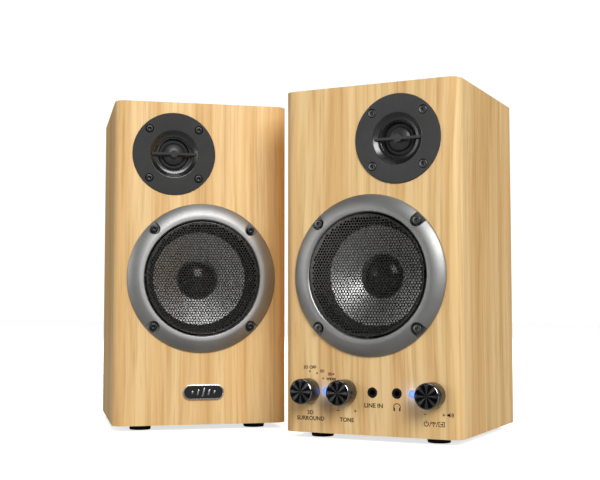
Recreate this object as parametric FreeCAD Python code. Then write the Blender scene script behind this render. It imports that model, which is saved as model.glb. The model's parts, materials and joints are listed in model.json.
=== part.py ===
import FreeCAD, Part
import math
import os

os.makedirs("parts", exist_ok=True)

V = FreeCAD.Vector

# A pair of two-way desktop speakers in millimetres: an active cabinet with the controls and the
# amplifier, and a passive satellite with a mirrored tweeter. Each cabinet is built in its own
# frame: X across, seen from the front, Y from the front face to the back, Z up from the floor.

# Cabinets
CABINET_W = 127.0
CABINET_D = 125.0
CABINET_H = 235.0
FOOT_H = 4.0
FOOT_R = 8.0
FOOT_X = 42.3
FOOT_INSET = 18.0
BAFFLE_T = 15.0
WALL_T = 12.0
EDGE_R = 8.0
BASE = FOOT_H
TOP = FOOT_H + CABINET_H

# The satellite stands to the left of the active cabinet and is toed in towards the listener
SATELLITE_TURN = 39.73
SATELLITE_X = -135.2
SATELLITE_Y = 8.6

# Screws that hold both drivers: M3 socket heads
SCREW_HEAD_R = 2.75
SCREW_HEAD_H = 3.0
SCREW_SHANK_R = 1.45
SCREW_LENGTH = 12.0
SCREW_SOCKET_AF = 2.5
SCREW_SOCKET_DEPTH = 1.8
SCREW_HOLE_R = 1.6

# Woofer
DRIVER_GAP = 0.2
WOOFER_Z = BASE + 106.1
RING_R = 54.4
RING_LIP_R = 42.1
RING_COLLAR_R = 43.7
RING_COLLAR_Y = 0.9
RING_EDGE_T = 0.9
RING_PROUD = 5.0
WOOFER_SCREW_PCD = 100.0
WOOFER_SEAT_Y = -1.2
SCREW_WELL_R = 4.3
FLANGE_R = 53.2
FLANGE_T = 3.0
BASKET_R = 45.5
SKIRT_R = 44.0
SKIRT_T = 1.5
SURROUND_Y = 13.0
ROLL_R = 38.8
ROLL_HALF_W = 2.8
GRILLE_Y = -RING_PROUD
GRILLE_T = 0.6
GRILLE_R = 40.9
GRILLE_TAB_W = 5.0
GRILLE_TAB_R = 43.4
CONE_R = 36.0
CONE_T = 0.7
CONE_NECK_Y = 25.6
CAP_R = 15.25
CAP_Y = 23.7
CAP_HEIGHT = 6.2
CAP_T = 0.6
FORMER_R = 12.6
FORMER_T = 0.3
SPIDER_Y = 34.0
BASKET_FLOOR_Y = 42.0
MOTOR_Y = 44.0
WINDING_H = 9.0
TOP_PLATE_T = 4.0
STEEL_R = 36.5
GAP_R = 14.4
MAGNET_R = 40.0
MAGNET_BORE_R = 20.0
MAGNET_T = 14.0
MAGNET_CHAMFER = 1.0
YOKE_T = 5.0
POLE_R = 11.8

# Tweeter
TWEETER_X = 21.0
TWEETER_Z = BASE + 196.8
PLATE_R = 30.15
PLATE_PROUD = 0.8
PLATE_T = 3.8
THROAT_R = 17.2
THROAT_INNER_R = 12.3
TWEETER_SCREW_SQUARE = 36.0
BAR_HALF_W = 1.0
BAR_DISC_R = 2.8
DOME_R = 7.8
DOME_TIP_Y = 1.7
DOME_EDGE_Y = 3.7
DOME_BASE_Y = 6.2

# Controls on the active cabinet
CONTROL_Z = BASE + 28.3
SURROUND_KNOB_X = -43.6
TONE_KNOB_X = -16.6
VOLUME_KNOB_X = 45.1
JACK_XS = (2.2, 19.5)
LED_XS = (-31.6, 30.4)
SKIN_T = 4.0
POCKET_X = 56.0
POCKET_H = 30.0
KNOB_R = 8.5
KNOB_FRONT_Y = -15.0
KNOB_BACK_Y = -1.6
KNOB_CHAMFER = 1.0
KNOB_BORE_R = 7.0
HUB_R = 4.6
STEM_R = 2.5
STEM_BACK_Y = 10.5
SHAFT_FRONT_Y = -9.0
RUNNING = 0.06
BUSH_R = 3.5
POT_HALF = 6.0
JACK_R = 3.45
JACK_BORE_R = 1.8
JACK_LENGTH = 11.0
LED_R = 2.5
BOARD_Y = 12.6
BOARD_T = 1.6

# Inside the active cabinet
AMP_BOARD_Y = 109.0
AMP_BOARD_HALF_W = 40.0
AMP_BOARD_Z = (BASE + 62.0, BASE + 126.0)
HEAT_SINK_HALF_W = 34.0
HEAT_SINK_Z = (BASE + 100.0, BASE + 122.0)
HEAT_SINK_T = 12.0
CAPACITOR_XS = (-26.0, -12.0, 4.0, 20.0)
CAPACITOR_Z = BASE + 78.0
CAPACITOR_R = 6.0
CAPACITOR_LENGTH = 18.0
CORE_HALF_W = 26.0
CORE_LIMB = 8.0
CORE_H = 42.0
CORE_Y = (70.0, 88.0)
COIL_HALF_W = 16.8
COIL_Y = (62.0, 96.0)

# Badge of the satellite
BADGE_X = 1.5
BADGE_Z = BASE + 23.3
BADGE_W = 30.0
BADGE_H = 11.0
BADGE_T = 1.4

# Rear
PORT_Z = BASE + 185.0
PORT_R = 14.5
PORT_WALL = 2.0
PORT_LENGTH = 62.0
PORT_FLANGE_R = 21.0
REAR_PLATE_W = 98.0
REAR_PLATE_H = 122.0
REAR_PLATE_T = 2.0
REAR_PLATE_Z = BASE + 78.0
REAR_OPENING_W = 86.0
REAR_OPENING_H = 106.0
REAR_SCREW_X = 46.0
REAR_SCREW_Z = 57.0
RCA_Z = BASE + 116.0
RCA_XS = (-9.0, 9.0)
RCA_R = 4.15
RCA_SHOULDER_R = 5.2
RCA_LENGTH = 9.0
TERMINAL_Z = BASE + 80.0
TERMINAL_W = 40.0
TERMINAL_H = 30.0
TERMINAL_PROUD = 5.0
TERMINAL_DEPTH = 10.0
WIRE_HOLE_R = 1.5
LEVER_XS = (-9.0, 9.0)
LEVER_W = 9.4
LEVER_LENGTH = 12.0
LEVER_T = 2.2
LEVER_REST = 28.0
LEVER_BARREL_R = 1.9
LEVER_PIN_R = 1.2
LEVER_PIN_PROUD = 1.2
INLET_Z = BASE + 38.0
INLET_W = 54.0
INLET_H = 22.0
INLET_DEPTH = 18.0
SOCKET_X = -13.0
SOCKET_HALF_W = 9.6
SOCKET_HALF_H = 4.9
SOCKET_DEPTH = 13.0
CONTACT_PITCH = 8.6
CONTACT_R = 1.2
ROCKER_X = 13.0
ROCKER_HALF_W = 5.6
ROCKER_TILT = 7.0
ROCKER_APERTURE_HALF_W = 6.0
ROCKER_APERTURE_HALF_H = 9.0


def block(x0, x1, y0, y1, z0, z1):
    """Box between two corners."""
    return Part.makeBox(x1 - x0, y1 - y0, z1 - z0, V(x0, y0, z0))


def rod(x, z, radius, y0, y1):
    """Round bar that runs front to back."""
    return Part.makeCylinder(radius, y1 - y0, V(x, y0, z), V(0, 1, 0))


def cross_rod(y, z, radius, x0, x1):
    """Round bar that runs left to right."""
    return Part.makeCylinder(radius, x1 - x0, V(x0, y, z), V(1, 0, 0))


def prism(points, x0, x1):
    """Solid of a (depth, height) outline, from x0 to x1."""
    corners = [V(x0, y, z) for y, z in points]
    face = Part.Face(Part.makePolygon(corners + corners[:1]))
    return face.extrude(V(x1 - x0, 0, 0))


def turned(x, z, start, *steps):
    """Solid of revolution about the front-to-back line through (x, z).

    The section is a closed outline of (radius, depth) pairs. A step made of two pairs is an arc
    through the first pair to the second.
    """
    edges = []
    here = V(start[0], start[1], 0)
    for step in steps + (start,):
        if isinstance(step[0], tuple):
            middle, end = (V(radius, depth, 0) for radius, depth in step)
            edges.append(Part.Arc(here, middle, end).toShape())
        else:
            end = V(step[0], step[1], 0)
            edges.append(Part.makeLine(here, end))
        here = end
    solid = Part.Face(Part.Wire(edges)).revolve(V(0, 0, 0), V(0, 1, 0), 360)
    solid.translate(V(x, 0, z))
    return solid


def square_of(side, x=0.0, z=0.0):
    """The four corners of a square pattern round (x, z)."""
    half = side / 2
    return [(x + sx * half, z + sz * half) for sx in (-1, 1) for sz in (-1, 1)]


def hexagon(x, z, across_flats, y0, y1):
    """Hexagonal bar that runs front to back."""
    radius = across_flats / math.sqrt(3)
    corners = []
    for step in range(6):
        angle = math.radians(60 * step)
        corners.append(V(x + radius * math.cos(angle), y0, z + radius * math.sin(angle)))
    return Part.Face(Part.makePolygon(corners + corners[:1])).extrude(V(0, y1 - y0, 0))


def socket_screw(x, z, seat_y):
    """Socket-head screw whose head stands on the seat, thread to the back."""
    head_y = seat_y - SCREW_HEAD_H
    head = turned(x, z, (0, head_y), (SCREW_HEAD_R - 0.4, head_y), (SCREW_HEAD_R, head_y + 0.4),
                  (SCREW_HEAD_R, seat_y), (SCREW_SHANK_R, seat_y),
                  (SCREW_SHANK_R, seat_y + SCREW_LENGTH), (0, seat_y + SCREW_LENGTH))
    return head.cut(hexagon(x, z, SCREW_SOCKET_AF, head_y - 1, head_y + SCREW_SOCKET_DEPTH))


WOOFER_SCREWS = square_of(WOOFER_SCREW_PCD / math.sqrt(2), 0, WOOFER_Z)


def tweeter_screws(tweeter_x):
    return square_of(TWEETER_SCREW_SQUARE, tweeter_x, TWEETER_Z)


def baffle(tweeter_x):
    """Front board with rounded upright edges, the two driver rebates and their screw holes."""
    half = CABINET_W / 2
    soft = EDGE_R * (1 - math.sqrt(0.5))
    left_bend = Part.Arc(V(-half, EDGE_R, BASE), V(-half + soft, soft, BASE), V(-half + EDGE_R, 0, BASE))
    right_bend = Part.Arc(V(half - EDGE_R, 0, BASE), V(half - soft, soft, BASE), V(half, EDGE_R, BASE))
    outline = Part.Wire([
        left_bend.toShape(),
        Part.makeLine(V(-half + EDGE_R, 0, BASE), V(half - EDGE_R, 0, BASE)),
        right_bend.toShape(),
        Part.makeLine(V(half, EDGE_R, BASE), V(half, BAFFLE_T, BASE)),
        Part.makeLine(V(half, BAFFLE_T, BASE), V(-half, BAFFLE_T, BASE)),
        Part.makeLine(V(-half, BAFFLE_T, BASE), V(-half, EDGE_R, BASE)),
    ])
    board = Part.Face(outline).extrude(V(0, 0, CABINET_H))
    cutters = [
        rod(0, WOOFER_Z, FLANGE_R + DRIVER_GAP, -1, FLANGE_T + DRIVER_GAP),
        rod(0, WOOFER_Z, BASKET_R + 1, -1, BAFFLE_T + 1),
        rod(tweeter_x, TWEETER_Z, PLATE_R + DRIVER_GAP, -1, PLATE_T - PLATE_PROUD),
        rod(tweeter_x, TWEETER_Z, THROAT_R + 2, -1, BAFFLE_T + 1),
    ]
    for x, z in WOOFER_SCREWS + tweeter_screws(tweeter_x):
        cutters.append(rod(x, z, SCREW_SHANK_R, 0, BAFFLE_T + 1))
    return board.cut(cutters)


def active_baffle():
    """Front board with the rear pocket and the holes for the controls."""
    pocket = block(-POCKET_X, POCKET_X, SKIN_T, BAFFLE_T + 1,
                   CONTROL_Z - POCKET_H / 2, CONTROL_Z + POCKET_H / 2)
    cutters = [pocket]
    for x in (SURROUND_KNOB_X, TONE_KNOB_X, VOLUME_KNOB_X):
        cutters.append(rod(x, CONTROL_Z, BUSH_R + 0.1, -1, SKIN_T + 1))
    for x in JACK_XS:
        cutters.append(rod(x, CONTROL_Z, JACK_R + 0.1, -1, SKIN_T + 1))
    for x in LED_XS:
        cutters.append(rod(x, CONTROL_Z, LED_R + 0.05, -1, SKIN_T + 1))
    return baffle(TWEETER_X).cut(cutters)


def cabinet_walls():
    """Two sides, top and bottom, mitred at the corners."""
    half = CABINET_W / 2
    inner = half - WALL_T
    outside = [(-half, BASE), (half, BASE), (half, TOP), (-half, TOP)]
    inside = [(-inner, BASE + WALL_T), (inner, BASE + WALL_T), (inner, TOP - WALL_T), (-inner, TOP - WALL_T)]
    walls = []
    for side in range(4):
        other = (side + 1) % 4
        section = [outside[side], outside[other], inside[other], inside[side]]
        corners = [V(x, BAFFLE_T, z) for x, z in section]
        face = Part.Face(Part.makePolygon(corners + corners[:1]))
        walls.append(face.extrude(V(0, CABINET_D - BAFFLE_T, 0)))
    return Part.makeCompound(walls)


def rear_panel(cutters):
    """Board set between the walls, flush with their rear edges, with the port hole."""
    inner = CABINET_W / 2 - WALL_T
    board = block(-inner, inner, CABINET_D - WALL_T, CABINET_D, BASE + WALL_T, TOP - WALL_T)
    port = rod(0, PORT_Z, PORT_R + PORT_WALL, CABINET_D - WALL_T - 1, CABINET_D + 1)
    return board.cut([port] + cutters)


def feet():
    pads = []
    for x in (-FOOT_X, FOOT_X):
        for y in (FOOT_INSET, CABINET_D - FOOT_INSET):
            pads.append(Part.makeCylinder(FOOT_R, FOOT_H, V(x, y, 0)))
    return Part.makeCompound(pads)


def port_tube():
    """Bass reflex tube with a flared mouth and a flange on the back of the cabinet."""
    outer = PORT_R + PORT_WALL
    flare = 4.0
    lip = 1.6
    mouth_y = CABINET_D + lip
    bend = flare * math.sqrt(0.5)
    return turned(0, PORT_Z, (PORT_R, CABINET_D - PORT_LENGTH), (outer, CABINET_D - PORT_LENGTH),
                  (outer, CABINET_D), (PORT_FLANGE_R, CABINET_D), (PORT_FLANGE_R, mouth_y - 0.6),
                  (PORT_FLANGE_R - 0.6, mouth_y), (PORT_R + flare, mouth_y),
                  ((PORT_R + flare - bend, mouth_y - flare + bend), (PORT_R, mouth_y - flare)))


def trim_ring():
    """Convex ring with a collar inside the basket and four screw wells open to its rim."""
    crown_r = RING_LIP_R + 4.0
    ring = turned(0, WOOFER_Z, (RING_COLLAR_R, 0), (RING_R, 0), (RING_R, -RING_EDGE_T),
                  ((RING_R - 3.5, -RING_PROUD + 1.15), (crown_r, -RING_PROUD)),
                  (RING_LIP_R + 1.2, -RING_PROUD + 0.1), (RING_LIP_R, -RING_PROUD + 1.0),
                  (RING_LIP_R, RING_COLLAR_Y), (RING_COLLAR_R, RING_COLLAR_Y))
    cutters = []
    for x, z in WOOFER_SCREWS:
        well = rod(0, 0, SCREW_WELL_R, -RING_PROUD - 1, WOOFER_SEAT_Y)
        gate = block(0, SCREW_WELL_R * 2, -RING_PROUD - 1, WOOFER_SEAT_Y, -SCREW_WELL_R, SCREW_WELL_R)
        hole = rod(0, 0, SCREW_HOLE_R, -RING_PROUD - 1, 1)
        cutter = well.fuse([gate, hole])
        turn = math.degrees(math.atan2(z - WOOFER_Z, x))
        cutter.rotate(V(0, 0, 0), V(0, 1, 0), -turn)
        cutter.translate(V(x, 0, z))
        cutters.append(cutter)
    return ring.cut(cutters)


def grille():
    """Flat sheet level with the ring's crown, on four tabs bent behind the ring's collar."""
    sheet = rod(0, WOOFER_Z, GRILLE_R, GRILLE_Y, GRILLE_Y + GRILLE_T)
    inner_r = GRILLE_R - 2 * GRILLE_T
    foot_y = RING_COLLAR_Y + 0.1
    half = GRILLE_TAB_W / 2
    tabs = []
    for quarter in range(4):
        leg = block(inner_r, inner_r + GRILLE_T, GRILLE_Y, foot_y + GRILLE_T, -half, half)
        foot = block(inner_r, GRILLE_TAB_R, foot_y, foot_y + GRILLE_T, -half, half)
        tab = leg.fuse(foot)
        tab.rotate(V(0, 0, 0), V(0, 1, 0), 90 * quarter)
        tab.translate(V(0, 0, WOOFER_Z))
        tabs.append(tab)
    return sheet.fuse(tabs)


def basket():
    """Pressed frame: flange, deep skirt, surround ledge, spider ledge and motor seat."""
    seat_y = FLANGE_T + DRIVER_GAP
    skirt_y = SURROUND_Y + SKIRT_T
    ledge_y = SPIDER_Y + 0.8
    wall = [(41.4, skirt_y), (37.0, BASKET_FLOOR_Y - 2), (37.0, MOTOR_Y), (16.0, MOTOR_Y),
            (16.0, BASKET_FLOOR_Y), (35.2, BASKET_FLOOR_Y), (35.2, ledge_y + 1.2), (31.0, ledge_y + 1.2),
            (31.0, ledge_y), (35.8, ledge_y), (39.8, skirt_y)]
    frame = turned(0, WOOFER_Z, (SKIRT_R, DRIVER_GAP), (FLANGE_R, DRIVER_GAP), (FLANGE_R, seat_y),
                   (BASKET_R, seat_y), (BASKET_R, skirt_y), *wall, (39.8, SURROUND_Y), (SKIRT_R, SURROUND_Y))
    cutters = [rod(x, z, SCREW_HOLE_R, -1, FLANGE_T + 1) for x, z in WOOFER_SCREWS]
    for window in range(4):
        opening = block(-12, 12, skirt_y + 2, SPIDER_Y - 1, 0, BASKET_R)
        opening.rotate(V(0, 0, 0), V(0, 1, 0), 90 * window + 45)
        opening.translate(V(0, 0, WOOFER_Z))
        cutters.append(opening)
    return frame.cut(cutters)


def surround():
    """Rubber half roll between the basket's ledge and the cone's edge."""
    front = SURROUND_Y - 0.7
    peak = front - ROLL_HALF_W
    rim_r = SKIRT_R - 0.2
    flap_r = CONE_R - 1.8
    back_r = ROLL_R + ROLL_HALF_W - 0.5
    return turned(0, WOOFER_Z, (rim_r, SURROUND_Y), (rim_r, front), (ROLL_R + ROLL_HALF_W, front),
                  ((ROLL_R, peak), (CONE_R, front)), (flap_r, front + 1.0), (flap_r, front + 1.6),
                  (CONE_R + 0.4, front + 0.62), ((ROLL_R, peak + 0.7), (back_r, SURROUND_Y)))


def cone():
    """Straight-sided cone from the surround to the voice coil's neck."""
    edge_y = SURROUND_Y + 0.5
    neck_r = FORMER_R + FORMER_T
    neck_back = CONE_NECK_Y + 1.8
    return turned(0, WOOFER_Z, (CONE_R, edge_y), (CONE_R, edge_y + CONE_T), (neck_r + 1.2, neck_back),
                  (neck_r, neck_back), (neck_r, CONE_NECK_Y))


def dust_cap():
    """Thin spherical cap on the cone."""
    ball = (CAP_R ** 2 + CAP_HEIGHT ** 2) / (2 * CAP_HEIGHT)
    half_angle = math.asin(CAP_R / ball) / 2
    tip = CAP_Y - CAP_HEIGHT
    mid_r = ball * math.sin(half_angle)
    mid_y = tip + ball * (1 - math.cos(half_angle))
    return turned(0, WOOFER_Z, (0, tip), ((mid_r, mid_y), (CAP_R, CAP_Y)), (CAP_R, CAP_Y + CAP_T),
                  ((mid_r, mid_y + CAP_T), (0, tip + CAP_T)))


def voice_coil():
    """Former tube with the winding at its rear end."""
    outer = FORMER_R + FORMER_T
    front = CONE_NECK_Y + 1.9
    winding_y = MOTOR_Y + (TOP_PLATE_T - WINDING_H) / 2
    rear = winding_y + WINDING_H
    return turned(0, WOOFER_Z, (FORMER_R, front), (outer, front), (outer, winding_y),
                  (outer + 0.7, winding_y), (outer + 0.7, rear), (FORMER_R, rear))


def spider():
    """Corrugated centring disc."""
    inner = FORMER_R + FORMER_T + 0.1
    outer = 33.0
    waves = 5
    step = (outer - inner) / (2 * waves)
    front = []
    back = []
    for index in range(2 * waves + 1):
        lift = 0.8 if index % 2 else 0.0
        front.append((inner + step * index, SPIDER_Y - lift))
        back.append((inner + step * index, SPIDER_Y + 0.6 - lift))
    return turned(0, WOOFER_Z, front[0], *(front[1:] + back[::-1]))


def magnet():
    """Ferrite ring with its outer edges broken."""
    front = MOTOR_Y + TOP_PLATE_T
    back = front + MAGNET_T
    flat_r = MAGNET_R - MAGNET_CHAMFER
    return turned(0, WOOFER_Z, (MAGNET_BORE_R, front), (flat_r, front), (MAGNET_R, front + MAGNET_CHAMFER),
                  (MAGNET_R, back - MAGNET_CHAMFER), (flat_r, back), (MAGNET_BORE_R, back))


def motor_steel():
    """Front plate, and the T-yoke whose pole stands inside the voice coil."""
    plate_back = MOTOR_Y + TOP_PLATE_T
    yoke_front = plate_back + MAGNET_T
    yoke_back = yoke_front + YOKE_T
    pole_y = MOTOR_Y - 1
    plate = turned(0, WOOFER_Z, (GAP_R, MOTOR_Y), (STEEL_R, MOTOR_Y), (STEEL_R, plate_back),
                   (GAP_R, plate_back))
    yoke = turned(0, WOOFER_Z, (0, pole_y), (POLE_R, pole_y), (POLE_R, yoke_front), (STEEL_R, yoke_front),
                  (STEEL_R, yoke_back), (0, yoke_back))
    return Part.makeCompound([plate, yoke])


def tweeter_plate(tweeter_x):
    """Face plate with the throat, four counterbored holes and the bar across the throat."""
    front = -PLATE_PROUD
    back = front + PLATE_T
    plate = turned(tweeter_x, TWEETER_Z, (THROAT_INNER_R, back), (PLATE_R, back), (PLATE_R, front + 0.4),
                   (PLATE_R - 0.4, front), (THROAT_R, front), (14.4, 1.3), (THROAT_INNER_R, 1.7))
    bar = block(tweeter_x - 16.4, tweeter_x + 16.4, front + 0.3, 0.9,
                TWEETER_Z - BAR_HALF_W, TWEETER_Z + BAR_HALF_W)
    disc = rod(tweeter_x, TWEETER_Z, BAR_DISC_R, front + 0.1, 1.1)
    cutters = []
    for x, z in tweeter_screws(tweeter_x):
        cutters.append(rod(x, z, SCREW_HEAD_R + 0.3, front - 1, front + SCREW_HEAD_H))
        cutters.append(rod(x, z, SCREW_HOLE_R, front - 1, back + 1))
    return plate.fuse([bar, disc]).cut(cutters)


def tweeter_dome(tweeter_x):
    """Dome with its roll and the short former behind it."""
    base = DOME_BASE_Y
    return turned(tweeter_x, TWEETER_Z, (0, DOME_TIP_Y), ((4.3, DOME_TIP_Y + 0.6), (DOME_R, DOME_EDGE_Y)),
                  (DOME_R, base - 0.6), ((9.5, base - 1.4), (11.2, base - 0.6)), (11.2, base),
                  (6.6, base), (6.6, base + 3.2), (6.3, base + 3.2), (6.3, base - 0.5), (0, DOME_TIP_Y + 0.8))


def tweeter_magnet(tweeter_x):
    """Sealed motor housing behind the face plate, with the voice coil's gap."""
    front = PLATE_T - PLATE_PROUD
    return turned(tweeter_x, TWEETER_Z, (0, 6.6), (5.7, 6.6), (5.7, 10.0), (7.3, 10.0), (7.3, 6.6),
                  (11.8, 6.6), (11.8, front), (18.6, front), (18.6, 22.0), (17.6, 23.0), (0, 23.0))


def front_screws(tweeter_x):
    """Four screws of the woofer and four of the tweeter, all alike."""
    screws = [socket_screw(x, z, WOOFER_SEAT_Y) for x, z in WOOFER_SCREWS]
    tweeter_seat = SCREW_HEAD_H - PLATE_PROUD
    screws += [socket_screw(x, z, tweeter_seat) for x, z in tweeter_screws(tweeter_x)]
    return Part.makeCompound(screws)


def knob(x, bore_depth):
    """Turned knob: chamfered cap, hollow back, and a hub bored for its shaft or holding a stem."""
    front = KNOB_FRONT_Y
    back = KNOB_BACK_Y
    hub_back = back - 1.0
    outline = [(KNOB_R - KNOB_CHAMFER, front), (KNOB_R, front + KNOB_CHAMFER), (KNOB_R, back),
               (KNOB_BORE_R, back), (KNOB_BORE_R, front + 4), (HUB_R, front + 4), (HUB_R, hub_back)]
    if bore_depth:
        outline += [(STEM_R + RUNNING, hub_back), (STEM_R + RUNNING, hub_back - bore_depth),
                    (0, hub_back - bore_depth)]
    else:
        outline += [(STEM_R, hub_back), (STEM_R, STEM_BACK_Y), (0, STEM_BACK_Y)]
    return turned(x, CONTROL_Z, (0, front), *outline)


def volume_shaft():
    """Encoder shaft that the volume knob turns with and slides on."""
    return turned(VOLUME_KNOB_X, CONTROL_Z, (0, SHAFT_FRONT_Y), (STEM_R - 0.3, SHAFT_FRONT_Y),
                  (STEM_R, SHAFT_FRONT_Y + 0.3), (STEM_R, STEM_BACK_Y), (0, STEM_BACK_Y))


def control_pots():
    """Bodies of the surround switch, tone control and volume encoder, each with its bush."""
    bodies = []
    for x in (SURROUND_KNOB_X, TONE_KNOB_X, VOLUME_KNOB_X):
        case = block(x - POT_HALF, x + POT_HALF, SKIN_T, BOARD_Y, CONTROL_Z - POT_HALF, CONTROL_Z + POT_HALF)
        bush = rod(x, CONTROL_Z, BUSH_R, -0.9, SKIN_T + 1)
        bore = rod(x, CONTROL_Z, STEM_R + RUNNING, -2, STEM_BACK_Y + 0.7)
        bodies.append(case.fuse(bush).cut(bore))
    return Part.makeCompound(bodies)


def indicator_lenses():
    lenses = []
    for x in LED_XS:
        lenses.append(turned(x, CONTROL_Z, (0, -0.9), ((1.5, -0.6), (LED_R, 0.0)), (LED_R, SKIN_T),
                             (LED_R + 0.5, SKIN_T), (LED_R + 0.5, SKIN_T + 1), (0, SKIN_T + 1)))
    return Part.makeCompound(lenses)


def front_jacks():
    """Two 3.5 mm jacks whose noses fill the panel holes."""
    jacks = []
    for x in JACK_XS:
        case = block(x - 4.5, x + 4.5, SKIN_T, BOARD_Y, CONTROL_Z - 5, CONTROL_Z + 5)
        nose = rod(x, CONTROL_Z, JACK_R, 0.2, SKIN_T + 1)
        bore = rod(x, CONTROL_Z, JACK_BORE_R, -1, 0.2 + JACK_LENGTH)
        jacks.append(case.fuse(nose).cut(bore))
    return Part.makeCompound(jacks)


def control_board():
    return block(-POCKET_X + 1, POCKET_X - 1, BOARD_Y, BOARD_Y + BOARD_T, CONTROL_Z - 13, CONTROL_Z + 13)


def amplifier_board():
    """Upright board with its heat sink and reservoir capacitors."""
    low, high = AMP_BOARD_Z
    board = block(-AMP_BOARD_HALF_W, AMP_BOARD_HALF_W, AMP_BOARD_Y, AMP_BOARD_Y + BOARD_T, low, high)
    parts = [block(-HEAT_SINK_HALF_W, HEAT_SINK_HALF_W, AMP_BOARD_Y - HEAT_SINK_T, AMP_BOARD_Y, *HEAT_SINK_Z)]
    for x in CAPACITOR_XS:
        parts.append(rod(x, CAPACITOR_Z, CAPACITOR_R, AMP_BOARD_Y - CAPACITOR_LENGTH, AMP_BOARD_Y))
    return board.fuse(parts)


def transformer():
    """Laminated core with the coil round its middle limb."""
    low = BASE + WALL_T
    yoke = CORE_LIMB + 1
    window_r = CORE_HALF_W - yoke
    core = block(-CORE_HALF_W, CORE_HALF_W, *CORE_Y, low, low + CORE_H)
    windows = [block(x, x + window_r - CORE_LIMB, CORE_Y[0] - 1, CORE_Y[1] + 1,
                     low + yoke, low + CORE_H - yoke) for x in (-window_r, CORE_LIMB)]
    core = core.cut(windows)
    limb = block(-CORE_LIMB, CORE_LIMB, *CORE_Y, low, low + CORE_H)
    coil = block(-COIL_HALF_W, COIL_HALF_W, *COIL_Y, low + yoke + 0.2, low + CORE_H - yoke - 0.2).cut(limb)
    return Part.makeCompound([core, coil])


def rear_plate():
    """Aluminium plate that carries the connectors."""
    half = REAR_PLATE_W / 2
    low = REAR_PLATE_Z - REAR_PLATE_H / 2
    plate = block(-half, half, CABINET_D, CABINET_D + REAR_PLATE_T, low, low + REAR_PLATE_H)
    upright = [edge for edge in plate.Edges if abs(edge.BoundBox.YLength - REAR_PLATE_T) < 0.01]
    plate = plate.makeFillet(3.0, upright)
    y0 = CABINET_D - 1
    y1 = CABINET_D + REAR_PLATE_T + 1
    cutters = [
        block(-20.5, 20.5, y0, y1, RCA_Z - 9.5, RCA_Z + 9.5),
        block(-18.2, 18.2, y0, y1, TERMINAL_Z - 13.2, TERMINAL_Z + 13.2),
        block(-INLET_W / 2 + 2, INLET_W / 2 - 2, y0, y1, INLET_Z - 9.2, INLET_Z + 9.2),
    ]
    for sx in (-1, 1):
        for sz in (-1, 1):
            cutters.append(rod(sx * REAR_SCREW_X, REAR_PLATE_Z + sz * REAR_SCREW_Z, SCREW_HOLE_R, y0, y1))
    return plate.cut(cutters)


def rear_plate_screws():
    """Pan-head screws with a cross recess."""
    screws = []
    face = CABINET_D + REAR_PLATE_T
    for sx in (-1, 1):
        for sz in (-1, 1):
            x = sx * REAR_SCREW_X
            z = REAR_PLATE_Z + sz * REAR_SCREW_Z
            screw = turned(x, z, (0, face - 10), (SCREW_SHANK_R, face - 10), (SCREW_SHANK_R, face),
                           (2.9, face), (2.9, face + 0.6), ((1.7, face + 1.6), (0, face + 2.0)))
            slots = [block(x - 1.7, x + 1.7, face + 1.0, face + 3, z - 0.35, z + 0.35),
                     block(x - 0.35, x + 0.35, face + 1.0, face + 3, z - 1.7, z + 1.7)]
            screws.append(screw.cut(slots))
    return Part.makeCompound(screws)


def rca_sockets():
    """Two phono sockets on one insulating base."""
    face = CABINET_D + REAR_PLATE_T
    base = block(-20, 20, CABINET_D - 6, face + 1, RCA_Z - 9, RCA_Z + 9)
    solids = []
    for x in RCA_XS:
        base = base.cut(rod(x, RCA_Z, RCA_SHOULDER_R, CABINET_D, face + 2))
        solids.append(turned(x, RCA_Z, (0, CABINET_D), (RCA_SHOULDER_R, CABINET_D),
                             (RCA_SHOULDER_R, face + 1), (RCA_R, face + 1), (RCA_R, face + 1 + RCA_LENGTH),
                             (3.4, face + 1 + RCA_LENGTH), (3.4, face + RCA_LENGTH),
                             (1.65, face + RCA_LENGTH), (1.65, face), (0, face)))
    return Part.makeCompound([base] + solids)


def lever_pivot(face):
    """Depth and height of the levers' hinge line above the terminal's middle."""
    return face + TERMINAL_PROUD - 2.4, -3.4


def wire_terminal(face, z):
    """Spring terminal: two wire holes below two lever slots with pivot holes."""
    pivot_y, pivot_dz = lever_pivot(face)
    outside = face + TERMINAL_PROUD
    body = block(-TERMINAL_W / 2, TERMINAL_W / 2, face, outside, z - TERMINAL_H / 2, z + TERMINAL_H / 2)
    neck = block(-18, 18, face - TERMINAL_DEPTH, face + 1, z - 13, z + 13)
    cutters = []
    for x in LEVER_XS:
        half = LEVER_W / 2 + 0.4
        cutters.append(block(x - half, x + half, face - 2, outside + 1, z - 6.6, z + 12.6))
        cutters.append(rod(x, z - 10.6, WIRE_HOLE_R, face - 8, outside + 1))
        reach = half + LEVER_PIN_PROUD
        cutters.append(cross_rod(pivot_y, z + pivot_dz, LEVER_PIN_R + RUNNING, x - reach, x + reach))
    return body.fuse(neck).cut(cutters)


def terminal_lever(x, face, z):
    """Finger lever on its pivot barrel, leaning out of its slot at rest."""
    pivot_y, pivot_dz = lever_pivot(face)
    half = LEVER_W / 2
    barrel = cross_rod(0, 0, LEVER_BARREL_R, -half, half)
    pins = cross_rod(0, 0, LEVER_PIN_R, -half - LEVER_PIN_PROUD, half + LEVER_PIN_PROUD)
    arm = block(-half, half, -LEVER_T / 2, LEVER_T / 2, 0, LEVER_LENGTH)
    lip = block(-half, half, -LEVER_T / 2, LEVER_T / 2 + 1.2, LEVER_LENGTH - 1.6, LEVER_LENGTH)
    lever = barrel.fuse([pins, arm, lip])
    lever.rotate(V(0, 0, 0), V(1, 0, 0), -LEVER_REST)
    lever.translate(V(x, pivot_y, z + pivot_dz))
    return lever


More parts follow.
